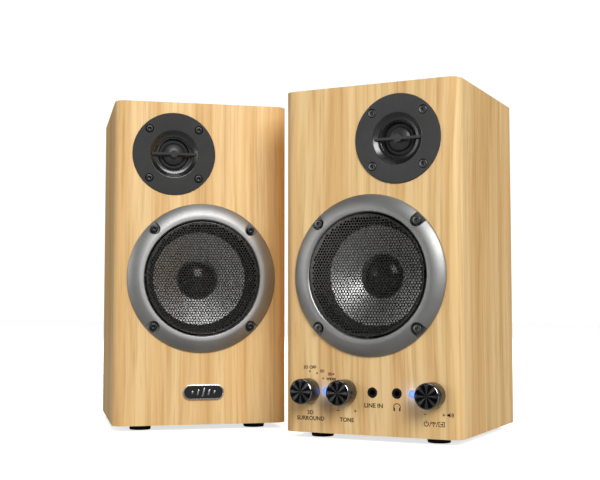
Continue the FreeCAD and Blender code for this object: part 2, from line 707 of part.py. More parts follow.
def mains_inlet():
    """Two-pole appliance inlet and the frame of the power switch in one moulding."""
    face = CABINET_D + REAR_PLATE_T
    flange = block(-INLET_W / 2, INLET_W / 2, face, face + 2, INLET_Z - INLET_H / 2, INLET_Z + INLET_H / 2)
    case = block(-INLET_W / 2 + 2.2, INLET_W / 2 - 2.2, face - INLET_DEPTH, face + 1,
                 INLET_Z - 9, INLET_Z + 9)
    out = face + 3
    straight = SOCKET_HALF_W - SOCKET_HALF_H
    mouth_y = face + 2 - SOCKET_DEPTH
    socket = block(SOCKET_X - straight, SOCKET_X + straight, mouth_y, out,
                   INLET_Z - SOCKET_HALF_H, INLET_Z + SOCKET_HALF_H)
    ends = [rod(SOCKET_X + side * straight, INLET_Z, SOCKET_HALF_H, mouth_y, out) for side in (-1, 1)]
    aperture = block(ROCKER_X - ROCKER_APERTURE_HALF_W, ROCKER_X + ROCKER_APERTURE_HALF_W, face - 12, out,
                     INLET_Z - ROCKER_APERTURE_HALF_H + 0.6, INLET_Z + ROCKER_APERTURE_HALF_H - 0.6)
    pivot = cross_rod(face, INLET_Z, LEVER_PIN_R + RUNNING, ROCKER_X - 7.4, ROCKER_X + 7.4)
    body = flange.fuse(case).cut([socket.fuse(ends), aperture, pivot])
    contacts = [rod(SOCKET_X + side * CONTACT_PITCH / 2, INLET_Z, CONTACT_R, mouth_y - 2, mouth_y + 10)
                for side in (-1, 1)]
    return body.fuse(contacts)


def power_rocker():
    """Rocker with a hollowed face, tilted to one side of its pivot."""
    face = CABINET_D + REAR_PLATE_T
    outline = [(5.2, -7.4), (4.3, -3.4), (3.9, 0), (4.3, 3.4), (5.2, 7.4), (-3.0, 5.0), (-3.0, -5.0)]
    body = prism(outline, ROCKER_X - ROCKER_HALF_W, ROCKER_X + ROCKER_HALF_W)
    pins = cross_rod(0, 0, LEVER_PIN_R, ROCKER_X - 7.2, ROCKER_X + 7.2)
    rocker = body.fuse(pins)
    rocker.rotate(V(0, 0, 0), V(1, 0, 0), -ROCKER_TILT)
    rocker.translate(V(0, face, INLET_Z))
    return rocker


def badge():
    """Plain plate with rounded ends on the satellite's front."""
    half_h = BADGE_H / 2
    straight = BADGE_W / 2 - half_h
    middle = block(BADGE_X - straight, BADGE_X + straight, -BADGE_T, 0, BADGE_Z - half_h, BADGE_Z + half_h)
    ends = [rod(BADGE_X + side * straight, BADGE_Z, half_h, -BADGE_T, 0) for side in (-1, 1)]
    return middle.fuse(ends).removeSplitter()


def speaker(tweeter_x):
    """What both cabinets have in common: the box, its feet and port, and the two drivers."""
    return {
        "cabinet_walls": cabinet_walls(),
        "feet": feet(),
        "port_tube": port_tube(),
        "woofer_ring": trim_ring(),
        "woofer_grille": grille(),
        "woofer_basket": basket(),
        "woofer_surround": surround(),
        "woofer_cone": cone(),
        "woofer_dust_cap": dust_cap(),
        "woofer_voice_coil": voice_coil(),
        "woofer_spider": spider(),
        "woofer_magnet": magnet(),
        "woofer_steel": motor_steel(),
        "tweeter_plate": tweeter_plate(tweeter_x),
        "tweeter_dome": tweeter_dome(tweeter_x),
        "tweeter_magnet": tweeter_magnet(tweeter_x),
        "front_screws": front_screws(tweeter_x),
    }


def active_speaker():
    plate_face = CABINET_D + REAR_PLATE_T
    opening = block(-REAR_OPENING_W / 2, REAR_OPENING_W / 2, CABINET_D - WALL_T - 1, CABINET_D + 1,
                    REAR_PLATE_Z - REAR_OPENING_H / 2, REAR_PLATE_Z + REAR_OPENING_H / 2)
    screw_holes = [rod(sx * REAR_SCREW_X, REAR_PLATE_Z + sz * REAR_SCREW_Z, SCREW_SHANK_R,
                       CABINET_D - WALL_T - 1, CABINET_D + 1) for sx in (-1, 1) for sz in (-1, 1)]
    pieces = speaker(TWEETER_X)
    pieces.update({
        "baffle": active_baffle(),
        "rear_panel": rear_panel([opening] + screw_holes),
        "surround_knob": knob(SURROUND_KNOB_X, 0),
        "tone_knob": knob(TONE_KNOB_X, 0),
        "volume_knob": knob(VOLUME_KNOB_X, 8.0),
        "volume_shaft": volume_shaft(),
        "control_pots": control_pots(),
        "indicator_lenses": indicator_lenses(),
        "front_jacks": front_jacks(),
        "control_board": control_board(),
        "amplifier_board": amplifier_board(),
        "transformer": transformer(),
        "rear_plate": rear_plate(),
        "rear_plate_screws": rear_plate_screws(),
        "rca_sockets": rca_sockets(),
        "wire_terminal": wire_terminal(plate_face, TERMINAL_Z),
        "red_lever": terminal_lever(LEVER_XS[1], plate_face, TERMINAL_Z),
        "black_lever": terminal_lever(LEVER_XS[0], plate_face, TERMINAL_Z),
        "mains_inlet": mains_inlet(),
        "power_rocker": power_rocker(),
    })
    return pieces


def satellite_speaker():
    terminal_hole = block(-18.2, 18.2, CABINET_D - WALL_T - 1, CABINET_D + 1,
                          TERMINAL_Z - 13.2, TERMINAL_Z + 13.2)
    pieces = speaker(-TWEETER_X)
    pieces.update({
        "baffle": baffle(-TWEETER_X),
        "rear_panel": rear_panel([terminal_hole]),
        "badge": badge(),
        "wire_terminal": wire_terminal(CABINET_D, TERMINAL_Z),
        "red_lever": terminal_lever(LEVER_XS[1], CABINET_D, TERMINAL_Z),
        "black_lever": terminal_lever(LEVER_XS[0], CABINET_D, TERMINAL_Z),
    })
    return pieces


nodes = {"active_" + name: shape for name, shape in active_speaker().items()}
for name, shape in satellite_speaker().items():
    shape.rotate(V(0, 0, 0), V(0, 0, 1), SATELLITE_TURN)
    shape.translate(V(SATELLITE_X, SATELLITE_Y, 0))
    nodes["satellite_" + name] = shape

# The origin is the middle of the pair's footprint, on the floor
whole = Part.makeCompound(list(nodes.values())).optimalBoundingBox(False, False)
to_origin = V(-(whole.XMin + whole.XMax) / 2, -(whole.YMin + whole.YMax) / 2, 0)
for name, shape in nodes.items():
    shape.translate(to_origin)
    shape.exportStep("parts/" + name + ".step")
print("nodes", len(nodes), "size", whole.XLength, whole.YLength, whole.ZLength, "moved", to_origin)
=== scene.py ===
import json
import math

import bmesh
import bpy
from mathutils import Matrix, Vector


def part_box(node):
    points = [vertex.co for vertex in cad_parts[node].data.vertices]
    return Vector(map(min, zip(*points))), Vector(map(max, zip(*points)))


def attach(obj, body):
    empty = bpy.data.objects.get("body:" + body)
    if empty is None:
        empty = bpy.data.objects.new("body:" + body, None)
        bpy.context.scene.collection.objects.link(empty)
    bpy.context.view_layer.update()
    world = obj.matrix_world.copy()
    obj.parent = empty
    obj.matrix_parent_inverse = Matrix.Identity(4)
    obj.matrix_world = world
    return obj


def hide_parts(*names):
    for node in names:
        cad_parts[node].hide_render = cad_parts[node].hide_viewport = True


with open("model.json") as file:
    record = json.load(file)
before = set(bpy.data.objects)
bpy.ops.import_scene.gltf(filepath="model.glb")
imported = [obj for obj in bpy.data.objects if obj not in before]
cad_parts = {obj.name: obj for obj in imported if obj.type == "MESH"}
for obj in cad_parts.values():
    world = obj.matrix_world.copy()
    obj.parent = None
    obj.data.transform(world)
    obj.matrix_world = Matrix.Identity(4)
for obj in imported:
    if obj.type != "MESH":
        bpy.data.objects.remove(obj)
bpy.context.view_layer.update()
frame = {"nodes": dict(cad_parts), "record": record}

MM = 0.001
ROUND = 160


# Where each cabinet stands, read from the frame. Each cabinet has its own frame
# in millimetres: X across, Y from the front face to the back, Z up from the floor.

def middle(node):
    low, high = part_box(node)
    return (Vector(low) + Vector(high)) / 2


def joint_axis(name):
    for joint in frame["record"]["behaviour"]["joints"]:
        if joint["name"] == name:
            return Vector(joint["axis"])
    raise ValueError(name)


def cabinet_frame(side):
    """Matrix from a cabinet's own millimetres to the world."""
    front_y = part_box("active_baffle")[0][1]
    magnet_depth = middle("active_woofer_magnet").y - front_y
    back = joint_axis(side + "_cone_travel")
    origin = middle(side + "_woofer_magnet") - back * magnet_depth
    origin.z = 0.0
    turn = math.atan2(-back.x, back.y)
    return Matrix.Translation(origin) @ Matrix.Rotation(turn, 4, "Z") @ Matrix.Scale(MM, 4), turn


PLACE = {}
TURN = {}
for side_name in ("active", "satellite"):
    PLACE[side_name], TURN[side_name] = cabinet_frame(side_name)

FOOT_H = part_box("active_baffle")[0][2] / MM
WOOFER_Z = middle("active_woofer_grille").z / MM
TWEETER_Z = middle("active_tweeter_dome").z / MM
FRONT_MID = PLACE["active"].translation


def active_x(node):
    """A node's middle, across the active cabinet, in its own millimetres."""
    return (middle(node).x - FRONT_MID.x) / MM


def depths(node):
    """Front and back of an active cabinet's node, from the front face, in millimetres."""
    low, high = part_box(node)
    return (low[1] - FRONT_MID.y) / MM, (high[1] - FRONT_MID.y) / MM


def heights(node):
    """Bottom and top of a node above the floor, in millimetres."""
    low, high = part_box(node)
    return low[2] / MM, high[2] / MM


def radius_of(node):
    """Radius of one of the active cabinet's round nodes, in millimetres."""
    low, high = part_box(node)
    return (high[0] - low[0]) / 2 / MM


TWEETER_X = active_x("active_tweeter_dome")
CONTROL_Z = middle("active_tone_knob").z / MM
KNOB_XS = {name: active_x("active_%s_knob" % name) for name in ("surround", "tone", "volume")}


# Node helpers for materials

def node(tree, kind, **settings):
    made = tree.nodes.new("ShaderNode" + kind)
    for key, value in settings.items():
        setattr(made, key, value)
    return made


def link(tree, source, target):
    tree.links.new(source, target)


def blank_material(name):
    """Material, its emptied node tree and the input that takes a surface."""
    material = bpy.data.materials.new(name)
    material.use_nodes = True
    tree = material.node_tree
    tree.nodes.clear()
    return material, tree, node(tree, "OutputMaterial").inputs[0]


def new_material(name):
    material, tree, surface = blank_material(name)
    shader = node(tree, "BsdfPrincipled")
    link(tree, shader.outputs[0], surface)
    return material, tree, shader


def fix(made, **values):
    """Sets constant inputs; an underscore in a name stands for a space."""
    for name, value in values.items():
        made.inputs[name.replace("_", " ")].default_value = value


def ramp(tree, factor, stops):
    made = node(tree, "ValToRGB")
    elements = made.color_ramp.elements
    while len(elements) < len(stops):
        elements.new(0.5)
    for element, (place, colour) in zip(elements, stops):
        element.position = place
        element.color = (*colour, 1.0) if len(colour) == 3 else colour
    link(tree, factor, made.inputs[0])
    return made.outputs[0]


def feed(tree, shader, name, factor, stops):
    """Drives one of a shader's inputs with a colour ramp."""
    link(tree, ramp(tree, factor, stops), shader.inputs[name])


def grey(value):
    return (value, value, value)


def noise(tree, vector, scale, detail=4.0, roughness=0.55):
    made = node(tree, "TexNoise")
    fix(made, Scale=scale, Detail=detail, Roughness=roughness)
    link(tree, vector, made.inputs["Vector"])
    return made.outputs["Fac"]


def stretched(tree, vector, scale, turn=0.0):
    made = node(tree, "Mapping")
    fix(made, Scale=scale, Rotation=(0, 0, turn))
    link(tree, vector, made.inputs["Vector"])
    return made.outputs[0]


def object_coordinates(tree):
    return node(tree, "TexCoord").outputs["Object"]


def math_node(tree, operation, first, second=None):
    made = node(tree, "Math", operation=operation)
    for slot, value in ((0, first), (1, second)):
        if value is None:
            continue
        if isinstance(value, (int, float)):
            made.inputs[slot].default_value = value
        else:
            link(tree, value, made.inputs[slot])
    return made.outputs[0]


def mix_colour(tree, factor, first, second, blend="MIX"):
    made = node(tree, "Mix", data_type="RGBA", blend_type=blend)
    for name, value in ((0, factor), (6, first), (7, second)):
        if isinstance(value, (int, float)):
            made.inputs[name].default_value = value
        elif isinstance(value, tuple):
            made.inputs[name].default_value = (*value, 1.0)
        else:
            link(tree, value, made.inputs[name])
    return made.outputs[2]


def bump(tree, shader, height, strength, distance):
    made = node(tree, "Bump")
    fix(made, Strength=strength, Distance=distance)
    link(tree, height, made.inputs["Height"])
    link(tree, made.outputs[0], shader.inputs["Normal"])


# Materials

def wood(side):
    """Light oak vinyl with an upright printed grain; on top and bottom it runs front to back."""
    material, tree, shader = new_material("wood_" + side)
    turned_back = stretched(tree, object_coordinates(tree), (1, 1, 1), -TURN[side])
    split = node(tree, "SeparateXYZ")
    link(tree, turned_back, split.inputs[0])
    lying = node(tree, "CombineXYZ")
    link(tree, split.outputs[0], lying.inputs[0])
    link(tree, split.outputs[2], lying.inputs[1])
    link(tree, split.outputs[1], lying.inputs[2])
    geometry = node(tree, "NewGeometry")
    normal = node(tree, "SeparateXYZ")
    link(tree, geometry.outputs["Normal"], normal.inputs[0])
    flat = math_node(tree, "GREATER_THAN", math_node(tree, "ABSOLUTE", normal.outputs[2]), 0.8)
    choose = node(tree, "Mix", data_type="VECTOR")
    link(tree, flat, choose.inputs[0])
    link(tree, turned_back, choose.inputs[4])
    link(tree, lying.outputs[0], choose.inputs[5])
    grain = choose.outputs[1]
    offset = 0.0 if side == "active" else 0.37
    shifted = node(tree, "Mapping")
    fix(shifted, Location=(offset, offset * 0.6, offset))
    link(tree, grain, shifted.inputs[0])
    grain = shifted.outputs[0]
    # Slow sideways wander, so that the lines are never quite straight
    wander = noise(tree, stretched(tree, grain, (9, 9, 2.2)), 1.0, 2.0)
    push = node(tree, "CombineXYZ")
    sway = math_node(tree, "MULTIPLY", math_node(tree, "SUBTRACT", wander, 0.5), 0.030)
    link(tree, sway, push.inputs[0])
    link(tree, sway, push.inputs[1])
    bent = node(tree, "VectorMath", operation="ADD")
    link(tree, grain, bent.inputs[0])
    link(tree, push.outputs[0], bent.inputs[1])
    lines = bent.outputs[0]

    def streaks(across, along, detail, roughness):
        """Noise drawn out along the grain; across and along are its counts per metre."""
        return noise(tree, stretched(tree, lines, (across, across, along)), 1.0, detail, roughness)

    bands = streaks(85, 2.0, 3.0, 0.6)
    fine = streaks(360, 6.0, 4.0, 0.65)
    pores = streaks(900, 20, 2.0, 0.5)
    broad = streaks(16, 0.9, 2.0, 0.5)
    # The satellite's vinyl is the same wood, painted 6% lighter: painted light
    lift = 1.0 if side == "active" else 1.06
    light = tuple(lift * c for c in (0.735, 0.470, 0.203))
    pale = tuple(lift * c for c in (0.830, 0.590, 0.290))
    warm = tuple(lift * c for c in (0.640, 0.385, 0.152))
    base = ramp(tree, bands, [(0.28, warm), (0.45, light), (0.60, pale), (0.76, light)])
    dark_streak = (0.80, 0.74, 0.65)
    pale_streak = (1.07, 1.07, 1.06)
    streak = ramp(tree, fine, [(0.36, dark_streak), (0.48, grey(1.0)), (0.66, pale_streak)])
    colour = mix_colour(tree, 0.70, base, streak, "MULTIPLY")
    ticks = ramp(tree, pores, [(0.30, (0.80, 0.72, 0.62)), (0.42, grey(1.0))])
    colour = mix_colour(tree, 0.40, colour, ticks, "MULTIPLY")
    dark_tone = (0.96, 0.94, 0.91)
    pale_tone = (1.04, 1.03, 1.02)
    tone = ramp(tree, broad, [(0.30, dark_tone), (0.55, grey(1.0)), (0.75, pale_tone)])
    colour = mix_colour(tree, 0.7, colour, tone, "MULTIPLY")
    link(tree, colour, shader.inputs["Base Color"])
    feed(tree, shader, "Roughness", fine, [(0.3, grey(0.52)), (0.7, grey(0.40))])
    fix(shader, Specular_IOR_Level=0.22)
    bump(tree, shader, pores, 0.12, 0.0002)
    return material


def plastic(name, colour, rough, grain_scale=2600, grain_depth=0.00005, spread=0.06, specular=0.5,
            mottling=0.18):
    """Moulded plastic or rubber: fine spark-eroded grain with faint mottling."""
    material, tree, shader = new_material(name)
    where = object_coordinates(tree)
    mottle = noise(tree, where, 120, 3.0)
    dark = tuple(c * (1 - mottling) for c in colour)
    bright = tuple(c * (1 + mottling) for c in colour)
    feed(tree, shader, "Base Color", mottle, [(0.35, dark), (0.65, bright)])
    grain = noise(tree, where, grain_scale, 2.0)
    feed(tree, shader, "Roughness", grain, [(0.3, grey(rough + spread)), (0.7, grey(rough - spread))])
    fix(shader, Specular_IOR_Level=specular)
    bump(tree, shader, grain, 0.35, grain_depth)
    return material


def metal(name, colour, rough, grain_scale=1800, grain_depth=0.00003, metallic=1.0):
    """Painted, plated or blasted metal with fine grain and slight tonal drift."""
    material, tree, shader = new_material(name)
    where = object_coordinates(tree)
    drift = noise(tree, where, 40, 3.0)
    dark = tuple(c * 0.90 for c in colour)
    bright = tuple(min(1.0, c * 1.10) for c in colour)
    feed(tree, shader, "Base Color", drift, [(0.3, dark), (0.7, bright)])
    grain = noise(tree, where, grain_scale, 2.0)
    feed(tree, shader, "Roughness", grain, [(0.3, grey(rough + 0.05)), (0.7, grey(rough - 0.04))])
    fix(shader, Metallic=metallic)
    bump(tree, shader, grain, 0.3, grain_depth)
    return material


def spun_black():
    """Black anodised face, turned on a lathe: fine rings, and a painted sheen as a fan of lighter and darker
    wedges in its colour.
    """
    material, tree, shader = new_material("knob_face")
    tangent = node(tree, "Tangent", direction_type="RADIAL", axis="Y")
    link(tree, tangent.outputs[0], shader.inputs["Tangent"])
    generated = node(tree, "TexCoord").outputs["Generated"]
    split = node(tree, "SeparateXYZ")
    link(tree, generated, split.inputs[0])
    across = math_node(tree, "SUBTRACT", split.outputs[0], 0.5)
    up = math_node(tree, "SUBTRACT", split.outputs[2], 0.5)
    angle = math_node(tree, "ARCTAN2", up, across)
    wedges = 8.0
    fan = math_node(tree, "COSINE", math_node(tree, "MULTIPLY", angle, wedges))
    painted_sheen_fan = math_node(tree, "MULTIPLY", math_node(tree, "ADD", fan, 1.0), 0.5)
    reach = node(tree, "VectorMath", operation="LENGTH")
    flat = node(tree, "CombineXYZ")
    link(tree, across, flat.inputs[0])
    link(tree, up, flat.inputs[1])
    link(tree, flat.outputs[0], reach.inputs[0])
    ring_phase = 620.0
    rings = math_node(tree, "SINE", math_node(tree, "MULTIPLY", reach.outputs[1], ring_phase))
    # Painted sheen: eight lighter and darker wedges drawn into the base colour
    feed(tree, shader, "Base Color", painted_sheen_fan,
         [(0.30, grey(0.010)), (0.55, grey(0.035)), (0.85, grey(0.110))])
    fix(shader, Metallic=1.0, Roughness=0.26, Anisotropic=0.85)
    bump(tree, shader, rings, 0.12, 0.00003)
    return material


def cone_metal():
    """Satin silver cone with a fine even grain."""
    material, tree, shader = new_material("cone_silver")
    where = object_coordinates(tree)
    grain = noise(tree, where, 900, 3.0)
    feed(tree, shader, "Base Color", grain, [(0.3, grey(0.93)), (0.7, grey(0.99))])
    feed(tree, shader, "Roughness", grain, [(0.3, grey(0.44)), (0.7, grey(0.36))])
    fix(shader, Metallic=0.9)
    bump(tree, shader, grain, 0.2, 0.00006)
    return material


def gloss_black(name, colour=(0.008, 0.008, 0.009), rough=0.10, coat=0.5, specular=0.5):
    """Polished black with very faint orange peel."""
    material, tree, shader = new_material(name)
    where = object_coordinates(tree)
    peel = noise(tree, where, 260, 2.0)
    feed(tree, shader, "Base Color", peel, [(0.3, colour), (0.7, tuple(c * 1.4 for c in colour))])
    feed(tree, shader, "Roughness", peel, [(0.3, grey(rough)), (0.7, grey(rough + 0.05))])
    fix(shader, Specular_IOR_Level=specular, Coat_Weight=coat, Coat_Roughness=0.05)
    bump(tree, shader, peel, 0.06, 0.0001)
    return material


def glowing_blue():
    """Lit lens: palest in its middle."""
    material, tree, shader = new_material("lens_blue")
    facing = node(tree, "LayerWeight")
    fix(facing, Blend=0.4)
    heart, rim = (0.22, 0.36, 1.0), (0.02, 0.08, 0.95)
    feed(tree, shader, "Emission Color", facing.outputs["Facing"], [(0.0, heart), (0.8, rim)])
    cloud = noise(tree, object_coordinates(tree), 700)
    feed(tree, shader, "Base Color", cloud, [(0.3, (0.02, 0.05, 0.30)), (0.7, (0.03, 0.07, 0.40))])
    fix(shader, Emission_Strength=1.3, Roughness=0.25)
    return material


def floor_white():
    """Studio sweep: burnt out to white for the camera, and a dimmer grey in what it reflects."""
    material, tree, surface = blank_material("floor_white")
    path = node(tree, "LightPath")
    seen = node(tree, "BsdfDiffuse")
    cloud = noise(tree, object_coordinates(tree), 3)
    feed(tree, seen, "Color", cloud, [(0.3, grey(0.84)), (0.7, grey(0.86))])
    lift = node(tree, "Emission")
    fix(lift, Strength=0.72)
    both = node(tree, "AddShader")
    link(tree, seen.outputs[0], both.inputs[0])
    link(tree, lift.outputs[0], both.inputs[1])
    unseen = node(tree, "BsdfDiffuse")
    fix(unseen, Color=(0.26, 0.26, 0.26, 1.0))
    choose = node(tree, "MixShader")
    link(tree, path.outputs["Is Camera Ray"], choose.inputs[0])
    link(tree, unseen.outputs[0], choose.inputs[1])
    link(tree, both.outputs[0], choose.inputs[2])
    link(tree, choose.outputs[0], surface)
    return material


M = {
    # One vinyl for both cabinets; the satellite's copy is painted lighter as painted light
    "wood_active": wood("active"),
    "wood_satellite": wood("satellite"),
    "ring": metal("ring_satin_silver", (0.345, 0.345, 0.34), 0.47, 1500, 0.00003, 0.9),
    # Darker copy of the ring's metal for the screw wells: painted shade in the recesses
    "ring_well": metal("ring_well_painted_shade", (0.13, 0.13, 0.13), 0.50, 1500, 0.00003, 0.7),
    "ring_edge": metal("ring_bright_edge", (0.34, 0.34, 0.34), 0.45, 1500, 0.00002),
    # Both tweeter plates are one plastic; the active's copy is lighter as painted light and the satellite's
    # darker as painted shade
    "plate_active": plastic("tweeter_plate_active", (0.058, 0.058, 0.058), 0.70, 2200, 0.00002, 0.06,
                            0.06, 0.04),
    "plate_satellite": plastic("tweeter_plate_satellite", (0.052, 0.052, 0.052), 0.75, 2200, 0.00002, 0.06,
                               0.04, 0.04),
    "throat": gloss_black("throat_gloss", (0.006, 0.006, 0.006), 0.25, 0.12, 0.9),
    "grille": metal("grille_black", (0.080, 0.078, 0.074), 0.22, 700, 0.0000008, 1.0),
    "collar": plastic("collar_black", (0.008, 0.008, 0.008), 0.55, 2600, 0.00003, 0.06, 0.35),
    "cone": cone_metal(),
    "cap": gloss_black("dust_cap_gloss", (0.005, 0.005, 0.006), 0.17, 0.15),
    "rubber": plastic("rubber_black", (0.014, 0.014, 0.014), 0.72, 1800, 0.00006),
    "dome": gloss_black("dome_gloss", (0.018, 0.018, 0.019), 0.42, 0.1),
    "roll": plastic("dome_roll", (0.008, 0.008, 0.008), 0.7),
    "screw": metal("screw_black", (0.042, 0.042, 0.042), 0.36),
    # One black screw metal; the active's copy is lighter as painted light and the satellite's darker as
    # painted shade
    "screw_active": metal("screw_active", (0.15, 0.15, 0.148), 0.36),
    "screw_satellite": metal("screw_satellite", (0.034, 0.034, 0.034), 0.38),
    "knob_side": gloss_black("knob_side_gloss", (0.010, 0.010, 0.010), 0.24),
    "knob_face": spun_black(),
    "bright_cut": metal("bright_cut_edge", (0.34, 0.34, 0.35), 0.15, 2500, 0.00001),
    "lens": glowing_blue(),
    "jack": plastic("jack_black", (0.004, 0.004, 0.004), 0.5, 2600, 0.00003, 0.06, 0.25),
    "legend": plastic("legend_print", (0.016, 0.009, 0.005), 0.6, 3000, 0.00001, 0.06, 0.2),
    "legend_white": plastic("legend_white", (0.62, 0.62, 0.60), 0.6, 3000, 0.00001),
    "badge_trim": metal("badge_trim", (0.62, 0.62, 0.63), 0.26, 1500, 0.00002),
    "badge": gloss_black("badge_black", (0.010, 0.010, 0.011), 0.15),
    "vinyl": plastic("rear_vinyl", (0.022, 0.021, 0.020), 0.55, 700, 0.00025),
    "moulded": plastic("moulded_black", (0.018, 0.018, 0.019), 0.46, 1500, 0.00006),
    "anodised": metal("anodised_black", (0.050, 0.050, 0.052), 0.42, 2200, 0.00002, 0.6),
    "zinc": metal("zinc_plate", (0.62, 0.60, 0.56), 0.28),
    "gold": metal("gold_plate", (0.86, 0.62, 0.24), 0.22),
    "red": plastic("moulded_red", (0.50, 0.015, 0.015), 0.40, 1500, 0.00004),
    "white": plastic("moulded_white", (0.70, 0.69, 0.66), 0.42, 1500, 0.00004),
    "copper": metal("copper_wire", (0.72, 0.34, 0.16), 0.35, 2500, 0.0001),
    "cloth": plastic("spider_cloth", (0.45, 0.29, 0.11), 0.85, 2400, 0.0002),
    "ferrite": plastic("ferrite_dark", (0.05, 0.05, 0.055), 0.6, 900, 0.0002),
    "board": plastic("solder_mask", (0.02, 0.11, 0.04), 0.35, 900, 0.00005),
}


# Mesh helpers. Every outline is in a cabinet's own millimetres.

def put(name, data):
    """Adds an object to the scene."""
    made = bpy.data.objects.new(name, data)
    bpy.context.scene.collection.objects.link(made)
    return made


def make_object(name, mesh, body, materials, nodes=(), sharp=30):
    """Puts a cabinet's mesh into the world, smooths it and hangs it on its body."""
    mesh.name = name
    mesh.transform(PLACE["satellite" if body.startswith("satellite") else "active"])
    mesh.shade_smooth()
    mesh.set_sharp_from_angle(angle=math.radians(sharp))
    made = put(name, mesh)
    if not mesh.materials:
        for material in materials:
            mesh.materials.append(material)
    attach(made, body)
    if nodes:
        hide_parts(*nodes)
    return made


def softened(outline, radius, steps=4):
    """Rounds each corner of an open outline of (radius, depth) pairs with a small arc."""
    points = [Vector(p) for p in outline]
    made = [points[0]]
    for before, corner, after in zip(points, points[1:], points[2:]):
        reach = min(radius, 0.45 * (corner - before).length, 0.45 * (after - corner).length)
        start = corner + (before - corner).normalized() * reach
        end = corner + (after - corner).normalized() * reach
        for step in range(steps + 1):
            t = step / steps
            made.append(start * (1 - t) ** 2 + corner * (2 * t * (1 - t)) + end * t ** 2)
    made.append(points[-1])
    return made


def arc_points(centre, radius, start, end, steps):
    """Points on an arc, in an outline's plane or across the front; angles in degrees."""
    made = []
    for step in range(steps + 1):
        angle = math.radians(start + (end - start) * step / steps)
        made.append(Vector((centre[0] + radius * math.cos(angle), centre[1] + radius * math.sin(angle))))
    return made


def arc_through(start, through, end, steps):
    """Points on the arc from start to end by way of a third point."""
    (ax, ay), (bx, by), (cx, cy) = start, through, end
    d = 2 * (ax * (by - cy) + bx * (cy - ay) + cx * (ay - by))
    a2, b2, c2 = ax * ax + ay * ay, bx * bx + by * by, cx * cx + cy * cy
    centre = Vector(((a2 * (by - cy) + b2 * (cy - ay) + c2 * (ay - by)) / d,
                     (a2 * (cx - bx) + b2 * (ax - cx) + c2 * (bx - ax)) / d))
    one, two = Vector(start) - centre, Vector(end) - centre
    first = math.degrees(math.atan2(one.y, one.x))
    sweep = (math.degrees(math.atan2(two.y, two.x)) - first + 180) % 360 - 180
    return arc_points(centre, one.length, first, first + sweep, steps)


def lathe(bm, outline, x, z, closed=False, steps=ROUND, material_of=None):
    """Turns an outline about the front-to-back line through (x, z)."""
    rings = []
    for radius, depth in outline:
        if radius < 1e-6:
            rings.append([bm.verts.new((x, depth, z))])
            continue
        ring = []
        for step in range(steps):
            angle = 2 * math.pi * step / steps
            ring.append(bm.verts.new((x + radius * math.cos(angle), depth, z + radius * math.sin(angle))))
        rings.append(ring)
    pairs = list(zip(rings, rings[1:]))
    if closed:
        pairs.append((rings[-1], rings[0]))
    for index, (one, two) in enumerate(pairs):
        for step in range(steps):
            after = (step + 1) % steps
            if len(one) == 1 and len(two) == 1:
                break
            if len(one) == 1:
                face = bm.faces.new((one[0], two[after], two[step]))
            elif len(two) == 1:
                face = bm.faces.new((one[step], one[after], two[0]))
            else:
                face = bm.faces.new((one[step], one[after], two[after], two[step]))
            if material_of:
                face.material_index = material_of(index)
    return bm


def bridge(bm, one, two, part=0):
    """Band of faces between two closed loops."""
    for corners in zip(one, one[1:] + one[:1], two[1:] + two[:1], two):
        bm.faces.new(corners).material_index = part


def to_mesh(bm):
    bmesh.ops.recalc_face_normals(bm, faces=bm.faces)
    mesh = bpy.data.meshes.new("piece")
    bm.to_mesh(mesh)
    bm.free()
    return mesh


def join(bm, other, place):
    """Moves one bmesh and adds its faces to another."""
    other.transform(place)
    mesh = to_mesh(other)
    bm.from_mesh(mesh)
    bpy.data.meshes.remove(mesh)


def box(bm, x0, x1, y0, y1, z0, z1, edge):
    """Box with bevelled edges."""
    made = bmesh.ops.create_cube(bm, size=1.0)
    for vertex in made["verts"]:
        vertex.co = Vector((x0 + (vertex.co.x + 0.5) * (x1 - x0), y0 + (vertex.co.y + 0.5) * (y1 - y0),
                            z0 + (vertex.co.z + 0.5) * (z1 - z0)))
    edges = {e for v in made["verts"] for e in v.link_edges}
    bmesh.ops.bevel(bm, geom=list(edges), offset=edge, segments=3, profile=0.5, affect="EDGES")


def minus(mesh, cutter):
    """Boolean difference of two meshes that don't belong to the scene."""
    one = put("cut_a", mesh)
    two = put("cut_b", cutter)
    modifier = one.modifiers.new("cut", "BOOLEAN")
    modifier.operation = "DIFFERENCE"
    modifier.solver = "EXACT"
    modifier.object = two
    graph = bpy.context.evaluated_depsgraph_get()
    result = bpy.data.meshes.new_from_object(one.evaluated_get(graph))
    bpy.data.objects.remove(one)
    bpy.data.objects.remove(two)
    return result


# Drivers, the same on both cabinets

CORNERS = [(sx, sz) for sx in (-1, 1) for sz in (-1, 1)]
WOOFER_SQUARE = 100.0 / math.sqrt(2) / 2
SEAT_Y = -1.2
WELL_R = 4.3
TWEETER_SQUARE = 18.0
TWEETER_SEAT_Y = 2.2
LIP_R = 42.1
GRILLE_Y = depths("active_woofer_grille")[0]
GRILLE_T = 0.4
SHEET_R = 40.9
MESH_PITCH = 2.08
HOLE_R = 0.79
SCREW_HEAD_R = 2.75
SCREW_HEAD_H = 3.0
SOCKET_FLATS = 2.5


